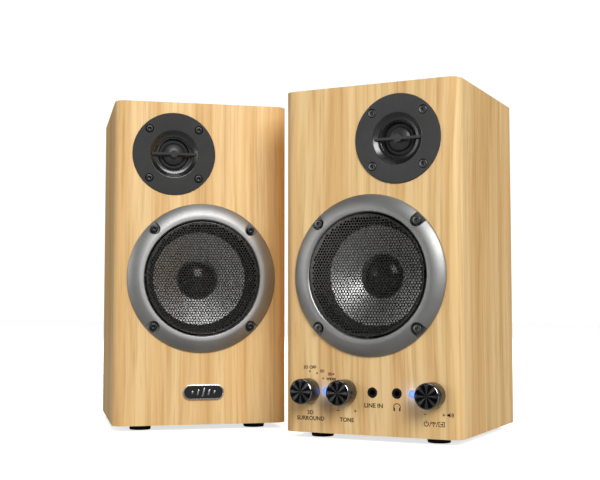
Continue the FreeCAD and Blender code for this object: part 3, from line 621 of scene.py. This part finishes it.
def ring_piece(side):
    """Die-cast trim ring: satin crown, bright inner bevel, upright wall and four screw wells."""
    outer = radius_of("active_woofer_ring")
    top, wall_end = depths("active_woofer_ring")
    crown = softened([(outer, 0.0), (outer, -0.85), (outer - 0.35, -1.3)], 0.4, 3)
    crown += arc_through((outer - 0.5, -1.45), (outer - 3.9, top + 1.5), (LIP_R + 3.6, top), 16)
    crown += softened([(LIP_R + 2.4, top), (LIP_R + 0.9, top + 0.06), (LIP_R + 0.65, top + 0.12)], 0.2, 3)
    bevel = softened([(LIP_R + 0.6, top + 0.16), (LIP_R + 0.05, top + 0.6), (LIP_R, top + 0.9)], 0.2, 3)
    wall = [Vector((LIP_R, wall_end)), Vector((LIP_R + 1.6, wall_end)), Vector((LIP_R + 1.6, 0.0))]
    first_bevel = len(crown) - 1
    first_wall = len(crown) + len(bevel) - 1

    def part(index):
        return 1 if first_bevel <= index < first_wall else 0

    ring = to_mesh(lathe(bmesh.new(), crown + bevel + wall, 0, WOOFER_Z, True, 240, part))
    ring.materials.append(M["ring"])
    ring.materials.append(M["ring_edge"])
    ring.materials.append(M["ring_well"])
    wells = bmesh.new()
    past_rim = 14.0
    outline = arc_points((0, 0), WELL_R, 90, 270, 20)
    outline += [Vector((past_rim, -WELL_R)), Vector((past_rim, WELL_R))]
    for sx, sz in CORNERS:
        turn = Matrix.Rotation(-math.atan2(sz, sx), 4, "Y")
        shift = Matrix.Translation((sx * WOOFER_SQUARE, 0, WOOFER_Z + sz * WOOFER_SQUARE))
        loops = [[wells.verts.new(shift @ turn @ Vector((u, y, w))) for u, w in outline]
                 for y in (-9.0, SEAT_Y)]
        wells.faces.new(loops[0])
        wells.faces.new(loops[1])
        bridge(wells, *loops)
    # The wells' faces take the darker copy of the ring metal: painted shade
    for face in wells.faces:
        face.material_index = 2
    make_object(side + "_ring", minus(ring, to_mesh(wells)), side + "_speaker", (),
                [side + "_woofer_ring"], 28)


def hexagon_reach(angle, flats):
    """Distance from a hexagon's middle to its edge in a direction."""
    part = (angle + math.pi / 6) % (math.pi / 3) - math.pi / 6
    return flats / 2 / math.cos(part)


def grille_piece(side):
    """Perforated sheet: a hexagonal lattice of round holes, cut through, with a plain border and tabs."""
    bm = bmesh.new()
    front = GRILLE_Y
    back = GRILLE_Y + GRILLE_T
    row_step = MESH_PITCH * math.sqrt(3) / 2
    holes_to = SHEET_R - 1.6
    border = SHEET_R - 0.6
    rows = int(SHEET_R / row_step) + 2
    sides = 12

    def held(x, z):
        """A point, kept inside the border."""
        far = math.hypot(x, z)
        shrink = min(1.0, border / far) if far else 1.0
        return x * shrink, z * shrink

    for row in range(-rows, rows + 1):
        z = row * row_step
        shift = 0.5 * MESH_PITCH if row % 2 else 0.0
        for column in range(-rows, rows + 1):
            x = column * MESH_PITCH + shift
            directions = [2 * math.pi * step / sides for step in range(sides)]
            reach = [hexagon_reach(a, MESH_PITCH) for a in directions]
            edge = [(x + r * math.cos(a), z + r * math.sin(a)) for r, a in zip(reach, directions)]
            if all(math.hypot(*point) > border for point in edge):
                continue
            edge = [held(*point) for point in edge]
            if math.hypot(x, z) > holes_to:
                for depth in (front, back):
                    bm.faces.new([bm.verts.new((px, depth, WOOFER_Z + pz)) for px, pz in edge])
                continue
            loops = []
            for a, (px, pz) in zip(directions, edge):
                c, s = math.cos(a), math.sin(a)
                levels = [(px, front, pz)]
                for radius, depth in ((HOLE_R + 0.06, front), (HOLE_R, front + 0.07), (HOLE_R, back)):
                    levels.append((x + radius * c, depth, z + radius * s))
                levels.append((px, back, pz))
                loops.append([bm.verts.new((lx, ly, WOOFER_Z + lz)) for lx, ly, lz in levels])
            for one, two in zip(loops, loops[1:] + loops[:1]):
                for level in range(4):
                    bm.faces.new((one[level], two[level], two[level + 1], one[level + 1]))
    bmesh.ops.remove_doubles(bm, verts=bm.verts, dist=0.02)
    bmesh.ops.dissolve_degenerate(bm, edges=bm.edges, dist=0.005)
    rim = softened([(border - 0.1, back), (border - 0.1, front), (SHEET_R, front), (SHEET_R, back),
                    (border - 0.1, back)], 0.15, 3)
    lathe(bm, rim[:-1], 0, WOOFER_Z, True, 160)
    foot = depths("active_woofer_grille")[1]
    for quarter in range(4):
        tab = bmesh.new()
        box(tab, SHEET_R - 1.2, SHEET_R - 0.6, back - 0.1, foot, -2.5, 2.5, 0.12)
        box(tab, SHEET_R - 1.2, SHEET_R + 2.5, foot - 0.6, foot, -2.5, 2.5, 0.12)
        turn = Matrix.Rotation(math.radians(90 * quarter), 4, "Y")
        join(bm, tab, Matrix.Translation((0, 0, WOOFER_Z)) @ turn)
    make_object(side + "_grille", to_mesh(bm), side + "_speaker", [M["grille"]],
                [side + "_woofer_grille"], 40)


def cone_pieces(side):
    """Cone with a rolled neck, and the polished dust cap."""
    body = side + "_woofer_cone"
    edge_y, neck_back = depths("active_woofer_cone")
    edge_r = radius_of("active_woofer_cone")
    neck_r, neck_y = 13.0, neck_back - 1.8
    bm = bmesh.new()
    front = [(edge_r, edge_y), (edge_r - 0.6, edge_y + 0.15)]
    steps = 24
    for step in range(1, steps + 1):
        t = step / steps
        radius = edge_r - 0.6 - t * (edge_r - 0.6 - neck_r)
        front.append((radius, edge_y + 0.15 + t * (neck_y - edge_y - 0.15) - 0.25 * math.sin(math.pi * t)))
    back = [(radius, depth + 0.6) for radius, depth in reversed(front)]
    lathe(bm, front + back, 0, WOOFER_Z, True, 120)
    make_object(side + "_cone", to_mesh(bm), body, [M["cone"]], [side + "_woofer_cone"],
                50)
    bm = bmesh.new()
    tip, rim_back = depths("active_woofer_dust_cap")
    cap_r = radius_of("active_woofer_dust_cap")
    wall = 0.6
    rise = rim_back - wall - tip
    ball = (cap_r ** 2 + rise ** 2) / (2 * rise)
    half = math.degrees(math.asin(cap_r / ball))
    outer = arc_points((0, tip + ball), ball, -90, -90 + half, 20)
    outer[0] = Vector((0, outer[0].y))
    inner = [Vector((p.x * 0.975, p.y + wall)) for p in reversed(outer)]
    lathe(bm, outer + [Vector((cap_r, rim_back - 0.15))] + inner, 0, WOOFER_Z, False, 96)
    make_object(side + "_dust_cap", to_mesh(bm), body, [M["cap"]],
                [side + "_woofer_dust_cap"], 50)


def surround_piece(side):
    """Half-roll surround."""
    base = depths("active_woofer_cone")[0] - 0.5
    front = base - 0.7
    outer_r = radius_of("active_woofer_surround")
    edge_r = radius_of("active_woofer_cone")
    roll_r, roll_half = 38.8, 2.75
    flap_r = edge_r - 1.8
    bm = bmesh.new()
    outer = [Vector((outer_r, base)), Vector((outer_r, front)), Vector((roll_r + roll_half + 0.2, front))]
    roll = arc_points((roll_r, front), roll_half, 0, -180, 20)
    inner = [Vector((flap_r + 0.3, front + 0.9)), Vector((flap_r, front + 1.1)),
             Vector((flap_r, front + 1.5)), Vector((edge_r, front + 0.75))]
    under = arc_points((roll_r, front + 0.15), roll_half - 0.6, -180, 0, 20)
    lathe(bm, outer + roll + inner + under + [Vector((roll_r + roll_half, base))], 0, WOOFER_Z, True, 120)
    make_object(side + "_surround", to_mesh(bm), side + "_speaker", [M["rubber"]],
                [side + "_woofer_surround"], 45)


def tweeter_pieces(side):
    """Face plate with its throat, and the dome with its roll."""
    x = TWEETER_X if side == "active" else -TWEETER_X
    front, back = depths("active_tweeter_plate")
    edge_r = 30.15
    flat = softened([(edge_r, back), (edge_r, front), (17.6, front)], 0.35, 4)
    throat = softened([(17.2, front + 0.12), (16.9, front + 0.4), (14.5, 1.25), (12.45, 1.7),
                       (12.3, back)], 0.4, 4)

    def part(index):
        return 1 if index >= len(flat) - 1 else 0

    bm = lathe(bmesh.new(), flat + throat, x, TWEETER_Z, True, 160, part)
    plate = to_mesh(bm)
    # Each cabinet's plate takes its own copy: painted light on the active, painted shade on the satellite
    plate.materials.append(M["plate_" + side])
    plate.materials.append(M["throat"])
    bm = bmesh.new()
    hole = [(0, -3), (3.3, -3), (3.3, -1), (3.05, front + 0.25), (3.05, TWEETER_SEAT_Y),
            (0, TWEETER_SEAT_Y)]
    for sx, sz in CORNERS:
        lathe(bm, hole, x + sx * TWEETER_SQUARE, TWEETER_Z + sz * TWEETER_SQUARE, False, 48)
    holes = to_mesh(bm)
    make_object(side + "_tweeter_plate", minus(plate, holes), side + "_speaker", (),
                [side + "_tweeter_plate"])
    bm = bmesh.new()
    box(bm, x - 16.4, x + 16.4, front + 0.35, 0.9, TWEETER_Z - 0.95, TWEETER_Z + 0.95, 0.3)
    disc = softened([(0, front + 0.15), (2.8, front + 0.15), (2.8, 1.1), (0, 1.1)], 0.5, 4)
    lathe(bm, disc, x, TWEETER_Z, False, 48)
    make_object(side + "_phase_bar", to_mesh(bm), side + "_speaker",
                [M["plate_" + side]])
    tip = depths("active_tweeter_dome")[0]
    dome_back = tip + 4.4
    dome = softened([(0, tip + 0.05), (2.0, tip + 0.15), (4.0, tip + 0.5), (6.0, tip + 1.15),
                     (7.4, tip + 1.85), (7.75, tip + 2.1), (7.75, dome_back - 0.7)], 0.5, 3)
    roll = softened([(7.9, dome_back - 0.75), (8.4, dome_back - 1.1), (9.2, dome_back - 1.35),
                     (9.9, dome_back - 1.35), (10.7, dome_back - 1.05), (11.2, dome_back - 0.6),
                     (11.2, dome_back), (0, dome_back)], 0.4, 3)

    def dome_part(index):
        return 1 if index >= len(dome) - 1 else 0

    bm = lathe(bmesh.new(), dome + roll, x, TWEETER_Z, False, 96, dome_part)
    make_object(side + "_dome", to_mesh(bm), side + "_tweeter_dome", [M["dome"], M["roll"]],
                [side + "_tweeter_dome"], 50)


def screw(bm, x, z, seat_y):
    """Socket head: chamfered rim, hexagonal well and a coned floor."""
    head_r = SCREW_HEAD_R
    top = seat_y - SCREW_HEAD_H
    steps = 48
    # Radius and depth of each loop; the last three follow the hexagon and the others are round
    round_loops = [(head_r, seat_y), (head_r, top + 0.42), (head_r - 0.1, top + 0.16), (head_r - 0.4, top)]
    hexagon_loops = [(0.14, top), (0.0, top + 0.14), (0.0, top + 1.7)]
    rings = []
    for index, (reach, depth) in enumerate(round_loops + hexagon_loops):
        ring = []
        for step in range(steps):
            angle = 2 * math.pi * step / steps
            r = reach if index < len(round_loops) else reach + hexagon_reach(angle, SOCKET_FLATS)
            ring.append(bm.verts.new((x + r * math.cos(angle), depth, z + r * math.sin(angle))))
        rings.append(ring)
    for one, two in zip(rings, rings[1:]):
        bridge(bm, one, two)
    floor_point = bm.verts.new((x, top + 2.1, z))
    foot = bm.verts.new((x, seat_y, z))
    for step in range(steps):
        after = (step + 1) % steps
        bm.faces.new((rings[-1][step], rings[-1][after], floor_point))
        bm.faces.new((rings[0][after], rings[0][step], foot))


def screw_pieces(side):
    bm = bmesh.new()
    x = TWEETER_X if side == "active" else -TWEETER_X
    for sx, sz in CORNERS:
        screw(bm, sx * WOOFER_SQUARE, WOOFER_Z + sz * WOOFER_SQUARE, SEAT_Y)
        screw(bm, x + sx * TWEETER_SQUARE, TWEETER_Z + sz * TWEETER_SQUARE, TWEETER_SEAT_Y)
    # Each cabinet's screws take its own copy: painted light on the active, painted shade on the satellite
    make_object(side + "_screws", to_mesh(bm), side + "_speaker", [M["screw_" + side]],
                [side + "_front_screws"])


FOOT_X = 42.3
FOOT_YS = (18.0, 107.0)


def feet_piece(side):
    """Rubber feet: tapered pads with a recessed screw hole underneath."""
    bm = bmesh.new()
    outline = softened([(0, 1.2), (2.6, 1.2), (2.6, 0.0), (7.6, 0.0), (8.0, FOOT_H), (0, FOOT_H)], 0.5, 4)
    for x in (-FOOT_X, FOOT_X):
        for y in FOOT_YS:
            pad = lathe(bmesh.new(), outline, 0, 0, False, 64)
            join(bm, pad, Matrix.Translation((x, y, 0)) @ Matrix.Rotation(math.radians(90), 4, "X"))
    make_object(side + "_feet", to_mesh(bm), side + "_speaker", [M["rubber"]],
                [side + "_feet"], 35)


# Controls of the active cabinet

KNOB_R = 8.5
KNOB_FRONT = depths("active_tone_knob")[0]
KNOB_BACK = -1.6


def knob_pieces(name):
    """Knob: glossy side, bright-cut chamfer, spun face set inside it."""
    body = name + "_knob"
    x = KNOB_XS[name]
    front = KNOB_FRONT
    bm = bmesh.new()
    outline = [(7.0, front + 4), (7.0, KNOB_BACK), (8.2, KNOB_BACK), (KNOB_R, -2.0), (KNOB_R, front + 0.85),
               (KNOB_R - 0.08, front + 0.68), (KNOB_R - 0.62, front + 0.08), (KNOB_R - 0.72, front + 0.04),
               (KNOB_R - 0.9, front + 0.3), (0, front + 0.35), (0, front + 4)]

    def part(index):
        return 1 if 5 <= index <= 6 else 0

    lathe(bm, outline, x, CONTROL_Z, False, 128, part)
    make_object(name + "_knob", to_mesh(bm), body, [M["knob_side"], M["bright_cut"]],
                ["active_%s_knob" % name])
    bm = bmesh.new()
    face = [(0, front + 0.12)] + [(r * 0.5, front + 0.12 + 0.0005 * r) for r in range(1, 15)]
    face += [(7.5, front + 0.2), (7.5, front + 0.5), (0, front + 0.5)]
    lathe(bm, face, x, CONTROL_Z, False, 128)
    make_object(name + "_knob_face", to_mesh(bm), body, [M["knob_face"]])


LENS_R = 3.0 * MM
LENSES_LOW, LENSES_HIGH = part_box("active_indicator_lenses")
LENS_XS = (LENSES_LOW[0] + LENS_R, LENSES_HIGH[0] - LENS_R)


def lens_pieces():
    bm = bmesh.new()
    dome = [(0, -0.85), (0.8, -0.8), (1.5, -0.62), (2.1, -0.32), (2.45, -0.02), (2.45, 3.0), (0, 3.0)]
    for x in LENS_XS:
        lathe(bm, softened(dome, 0.3, 3), (x - FRONT_MID.x) / MM, CONTROL_Z, False, 64)
    make_object("indicator_lenses", to_mesh(bm), "active_speaker", [M["lens"]],
                ["active_indicator_lenses"], 50)


PRINT_Y = -0.012
PRINT_T = 0.01


def text_mesh(words, size):
    """Lettering as a flat mesh in millimetres, centred on the origin."""
    curve = bpy.data.curves.new("words", "FONT")
    curve.body = words
    curve.size = size
    curve.align_x = "CENTER"
    curve.align_y = "CENTER"
    curve.extrude = PRINT_T
    curve.offset = 0.09
    holder = put("words", curve)
    graph = bpy.context.evaluated_depsgraph_get()
    mesh = bpy.data.meshes.new_from_object(holder.evaluated_get(graph))
    bpy.data.objects.remove(holder)
    return mesh


def stroke(bm, points, width, y=PRINT_Y):
    """Flat line of even width through (x, z) points, with square ends."""
    for (x0, z0), (x1, z1) in zip(points, points[1:]):
        along = Vector((x1 - x0, z1 - z0))
        if along.length < 1e-6:
            continue
        along.normalize()
        side = Vector((-along.y, along.x)) * (width / 2)
        tip = along * (width * 0.25)
        corners = [(x0 - tip.x + side.x, z0 - tip.y + side.y), (x1 + tip.x + side.x, z1 + tip.y + side.y),
                   (x1 + tip.x - side.x, z1 + tip.y - side.y), (x0 - tip.x - side.x, z0 - tip.y - side.y)]
        front = [bm.verts.new((cx, y - PRINT_T, cz)) for cx, cz in corners]
        back = [bm.verts.new((cx, y + PRINT_T, cz)) for cx, cz in corners]
        bm.faces.new(front)
        bm.faces.new(back[::-1])
        bridge(bm, back, front)


def legend_words(bm, words, x, z, size, y=PRINT_Y, flip=False):
    mesh = text_mesh(words, size)
    spin = Matrix.Rotation(math.radians(90), 4, "X")
    if flip:
        spin = Matrix.Rotation(math.radians(180), 4, "Z") @ spin
    mesh.transform(Matrix.Translation((x, y, z)) @ spin)
    bm.from_mesh(mesh)
    bpy.data.meshes.remove(mesh)


def front_legends():
    """Printed words and signs, standing a hundredth of a millimetre off the front."""
    bm = bmesh.new()
    z = CONTROL_Z
    kx = KNOB_XS["surround"]
    tx = KNOB_XS["tone"]
    vx = KNOB_XS["volume"]
    y = PRINT_Y
    for angle in (90, 65, 40):
        dot = Vector((kx + 13.0 * math.cos(math.radians(angle)), z + 13.0 * math.sin(math.radians(angle))))
        lathe(bm, [(0, y - PRINT_T), (0.55, y - PRINT_T), (0.55, y + PRINT_T), (0, y + PRINT_T)],
              dot.x, dot.y, False, 20)
    for words, x, height, size in (
            ("3D OFF", kx, 15.6, 2.95), ("3D", kx + 9.2, 13.2, 2.6), ("3D+", kx + 16.0, 11.3, 2.6),
            ("WIDER", kx + 16.0, 8.0, 2.3), ("3D", kx + 0.4, -14.9, 3.7),
            ("SURROUND", kx + 0.6, -18.8, 3.8), ("TONE", tx + 0.4, -18.8, 3.8), ("LINE IN", 3.1, -8.6, 4.05)):
        legend_words(bm, words, x, z + height, size)
    for centre in (tx, vx):
        stroke(bm, [(centre - 7.1, z - 12.6), (centre - 5.3, z - 12.6)], 0.4)
        stroke(bm, [(centre + 5.6, z - 12.6), (centre + 7.4, z - 12.6)], 0.4)
        stroke(bm, [(centre + 6.5, z - 13.5), (centre + 6.5, z - 11.7)], 0.4)
    # Headphones
    hx, hz = 19.6, z - 8.9
    stroke(bm, arc_points((hx, hz), 2.35, 200, -20, 18), 0.5)
    for side in (-1, 1):
        stroke(bm, [(hx + side * 1.95, hz - 0.5), (hx + side * 1.95, hz - 2.3)], 1.0)
    # Loudspeaker sign
    sx, sz = vx + 10.0, z - 12.6
    stroke(bm, [(sx - 0.9, sz), (sx - 0.1, sz)], 1.3)
    horn = [(sx - 0.2, sz - 0.55), (sx + 0.95, sz - 1.5), (sx + 0.95, sz + 1.5), (sx - 0.2, sz + 0.55)]
    bm.faces.new([bm.verts.new((px, y - PRINT_T, pz)) for px, pz in horn])
    for radius in (1.0, 1.9):
        stroke(bm, arc_points((sx + 1.0, sz), radius, -42, 42, 8), 0.42)
    # Power, wireless and input signs, with strokes between them
    row = z - 18.7
    px = vx - 5.4
    stroke(bm, arc_points((px, row), 1.45, 125, 415, 20), 0.52)
    stroke(bm, [(px, row + 0.3), (px, row + 2.0)], 0.52)
    for slash in (vx - 2.6, vx + 1.9):
        stroke(bm, [(slash - 0.6, row - 1.6), (slash + 0.6, row + 1.6)], 0.42)
    wx = vx - 0.4
    stroke(bm, [(wx, row - 1.6), (wx, row - 0.3)], 0.52)
    for radius in (0.9, 1.7):
        stroke(bm, arc_points((wx, row - 0.5), radius, 35, 145, 10), 0.46)
    ix = vx + 5.0
    stroke(bm, [(ix + 0.2, row + 1.4), (ix + 1.9, row + 1.4), (ix + 1.9, row - 1.4), (ix - 1.9, row - 1.4),
                (ix - 1.9, row + 1.4), (ix - 0.9, row + 1.4)], 0.48)
    stroke(bm, [(ix - 0.9, row), (ix + 0.9, row)], 0.48)
    stroke(bm, [(ix + 0.2, row + 0.7), (ix + 0.9, row), (ix + 0.2, row - 0.7)], 0.42)
    make_object("front_legends", to_mesh(bm), "active_speaker", [M["legend"]])


def badge_piece():
    """Plain badge: black plate with a silver rim and five slanted bars."""
    centre = PLACE["satellite"].inverted() @ middle("satellite_badge")
    x, z = centre.x, centre.z
    half_h = 5.5
    half_w = 15.0
    bar_step = 4.0
    bm = bmesh.new()

    def pill(reach_x, reach_z, y):
        loop = []
        straight = reach_x - reach_z
        for step in range(64):
            angle = 2 * math.pi * step / 64
            shift = straight if math.cos(angle) >= 0 else -straight
            loop.append(bm.verts.new((x + shift + reach_z * math.cos(angle), y,
                                      z + reach_z * math.sin(angle))))
        return loop

    levels = [(0.0, -0.01), (0.0, -1.05), (0.15, -1.25), (0.35, -1.32), (0.75, -1.32), (0.9, -1.2),
              (0.95, -1.0)]
    loops = [pill(half_w - inset, half_h - inset, y) for inset, y in levels]
    for one, two in zip(loops, loops[1:]):
        bridge(bm, one, two, 1)
    bm.faces.new(loops[-1])
    bm.faces.new(loops[0])
    for index, height in enumerate((2.0, 4.0, 6.2, 4.0, 2.0)):
        bar = bmesh.new()
        box(bar, -0.55, 0.55, -1.3, -0.95, -height / 2, height / 2, 0.12)
        lean = Matrix.Identity(4)
        lean[0][2] = 0.25
        before = len(bm.faces)
        join(bm, bar, Matrix.Translation((x + (index - 2) * bar_step, 0, z)) @ lean)
        bm.faces.ensure_lookup_table()
        for face in bm.faces[before:]:
            face.material_index = 1
    make_object("satellite_badge", to_mesh(bm), "satellite_speaker",
                [M["badge"], M["badge_trim"]], ["satellite_badge"])


# Back of the active cabinet

PHONO_XS = (-9.0, 9.0)


def phono_pieces():
    """Phono sockets: a moulded base, plated shells and coloured inserts."""
    front, back = depths("active_rca_sockets")
    z = sum(heights("active_rca_sockets")) / 2
    face = back - 9.0
    base = bmesh.new()
    box(base, -20, 20, front, face, z - 9, z + 9, 0.4)
    collar = softened([(0, face), (6.2, face), (6.2, face + 0.5), (4.4, face + 0.6), (0, face + 0.6)],
                      0.25, 3)
    for x in PHONO_XS:
        lathe(base, collar, x, z, False, 48)
    make_object("phono_base", to_mesh(base), "active_speaker", [M["moulded"]])
    shells = bmesh.new()
    tube = [(4.15, face), (4.15, back - 0.35), (3.85, back), (3.5, back), (3.4, back - 0.2),
            (3.4, back - 2.2), (3.4, face)]
    for x in PHONO_XS:
        lathe(shells, tube, x, z, True, 64)
    make_object("phono_shells", to_mesh(shells), "active_speaker", [M["gold"]],
                ["active_rca_sockets"])
    ring = softened([(1.65, face + 0.6), (1.65, back - 1.2), (1.9, back - 0.9), (3.2, back - 0.9),
                     (3.35, back - 1.1), (3.35, face + 0.6)], 0.2, 3)
    for x, colour in zip(PHONO_XS, ("red", "white")):
        insert = lathe(bmesh.new(), ring, x, z, True, 48)
        make_object("phono_insert_" + colour, to_mesh(insert), "active_speaker",
                    [M[colour]])


def mains_contacts():
    """Two round pins in the inlet."""
    z = sum(heights("active_mains_inlet")) / 2
    deep = depths("active_mains_inlet")[1] - 13.0
    pins = bmesh.new()
    pin = softened([(0, deep), (1.22, deep), (1.22, deep + 9.6), (0.7, deep + 10.05), (0, deep + 10.05)],
                   0.3, 3)
    for x in (-17.3, -8.7):
        lathe(pins, pin, x, z, False, 32)
    make_object("mains_contacts", to_mesh(pins), "active_speaker", [M["zinc"]])


def rear_legends():
    """Words printed on the metal plate."""
    y = depths("active_rear_plate")[1] - PRINT_Y
    top = heights("active_rear_plate")[1]
    z = sum(heights("active_mains_inlet")) / 2
    words = bmesh.new()
    rows = [("LINE IN", 0, top - 7.5, 4.2), ("L", 26.0, top - 23.0, 4.0), ("R", -26.0, top - 23.0, 4.0),
            ("TO SECOND SPEAKER", 0, top - 39.5, 3.6), ("+", 25.5, top - 60.0, 4.6),
            ("-", -25.5, top - 60.0, 4.6), ("ON", 34.0, z + 5.0, 3.4), ("OFF", 34.0, z - 5.0, 3.4),
            ("POWER", 0, z - 17.0, 4.0)]
    for text, x, height, size in rows:
        legend_words(words, text, x, height, size, y, True)
    make_object("rear_legends", to_mesh(words), "active_speaker", [M["legend_white"]])


# Build

for side_name in ("active", "satellite"):
    ring_piece(side_name)
    grille_piece(side_name)
    cone_pieces(side_name)
    surround_piece(side_name)
    tweeter_pieces(side_name)
    screw_pieces(side_name)
    feet_piece(side_name)

for knob in KNOB_XS:
    knob_pieces(knob)
lens_pieces()
front_legends()
badge_piece()
phono_pieces()
mains_contacts()
rear_legends()

CARRIED_OVER = {
    "baffle": None, "cabinet_walls": None, "rear_panel": "vinyl", "port_tube": "moulded",
    "woofer_basket": "collar", "woofer_spider": "cloth", "woofer_voice_coil": "copper",
    "woofer_magnet": "ferrite", "woofer_steel": "zinc", "tweeter_magnet": "moulded",
    "wire_terminal": "moulded", "red_lever": "red", "black_lever": "moulded", "control_pots": "zinc",
    "front_jacks": "jack", "control_board": "board", "amplifier_board": "board", "transformer": "zinc",
    "rear_plate": "anodised", "rear_plate_screws": "screw", "mains_inlet": "moulded",
    "power_rocker": "moulded", "volume_shaft": "zinc",
}
for node_name, cad in frame["nodes"].items():
    side_name, kind = node_name.split("_", 1)
    if kind in CARRIED_OVER:
        chosen = CARRIED_OVER[kind]
        material = M["wood_" + side_name] if chosen is None else M[chosen]
        for slot in cad.material_slots:
            slot.material = material


# Floor, light and camera

def add_floor():
    bm = bmesh.new()
    bmesh.ops.create_grid(bm, x_segments=8, y_segments=8, size=6.0)
    mesh = to_mesh(bm)
    mesh.materials.append(floor_white())
    put("floor", mesh)


# Name, azimuth, elevation, distance, width and height in metres, power in watts
LIGHTS = [
    ("key", 45, 28, 2.4, 1.2, 1.2, 46.5),
    ("fill", -47, 17, 1.8, 1.36, 0.95, 6.0),
    ("card", -29, 8, 1.2, 0.32, 0.30, 1.05),
    ("right", 100, 10, 1.5, 0.5, 1.0, 3.2),
    ("top", 60, 84, 1.6, 0.8, 0.8, 2.4),
    ("back", 200, 32, 2.2, 1.4, 1.0, 26.0),
]


def softbox(name, azimuth, elevation, distance, width, height, watts):
    """Area light that faces the pair; azimuth 0 is in front, 90 to the right."""
    target = Vector((0, 0, 0.12))
    a = math.radians(azimuth)
    e = math.radians(elevation)
    offset = Vector((math.sin(a) * math.cos(e), -math.cos(a) * math.cos(e), math.sin(e))) * distance
    data = bpy.data.lights.new(name, "AREA")
    data.shape = "RECTANGLE"
    data.size = width
    data.size_y = height
    data.energy = watts
    made = put(name, data)
    made.location = target + offset
    made.rotation_euler = (-offset).to_track_quat("-Z", "Y").to_euler()


def add_light():
    """White to the camera, and a dimmer room with one large soft key from the right for the light."""
    world = bpy.data.worlds.new("studio")
    world.use_nodes = True
    tree = world.node_tree
    tree.nodes.clear()
    out = node(tree, "OutputWorld")
    path = node(tree, "LightPath")
    room, mirrored, seen = [node(tree, "Background") for index in range(3)]
    for made, strength in ((room, 0.30), (mirrored, 0.05), (seen, 1.1)):
        fix(made, Color=(1, 1, 1, 1), Strength=strength)
    unseen = node(tree, "MixShader")
    choose = node(tree, "MixShader")
    link(tree, path.outputs["Is Glossy Ray"], unseen.inputs[0])
    link(tree, room.outputs[0], unseen.inputs[1])
    link(tree, mirrored.outputs[0], unseen.inputs[2])
    link(tree, path.outputs["Is Camera Ray"], choose.inputs[0])
    link(tree, unseen.outputs[0], choose.inputs[1])
    link(tree, seen.outputs[0], choose.inputs[2])
    link(tree, choose.outputs[0], out.inputs[0])
    bpy.context.scene.world = world
    for light in LIGHTS:
        softbox(*light)
    for x in LENS_XS:
        data = bpy.data.lights.new("lens_glow", "POINT")
        data.color = (0.12, 0.28, 1.0)
        data.energy = 0.002
        data.shadow_soft_size = 0.0015
        glow = put("lens_glow", data)
        glow.location = (x, FRONT_MID.y - 4.0 * MM, CONTROL_Z * MM)
        glow.visible_glossy = False


def add_camera():
    """Stands right of centre, level with the woofers, and looks slightly up at the pair."""
    data = bpy.data.cameras.new("camera")
    data.lens = 63.66
    data.sensor_width = 36.0
    made = put("camera", data)
    made.location = FRONT_MID + Vector((0.2714, -0.6560, 0.0837 + FOOT_H * MM))
    made.rotation_euler = (math.radians(90 + 3.71), 0, math.radians(26.18))
    bpy.context.scene.camera = made


add_floor()
add_light()
add_camera()
bpy.context.scene.view_settings.view_transform = "Standard"
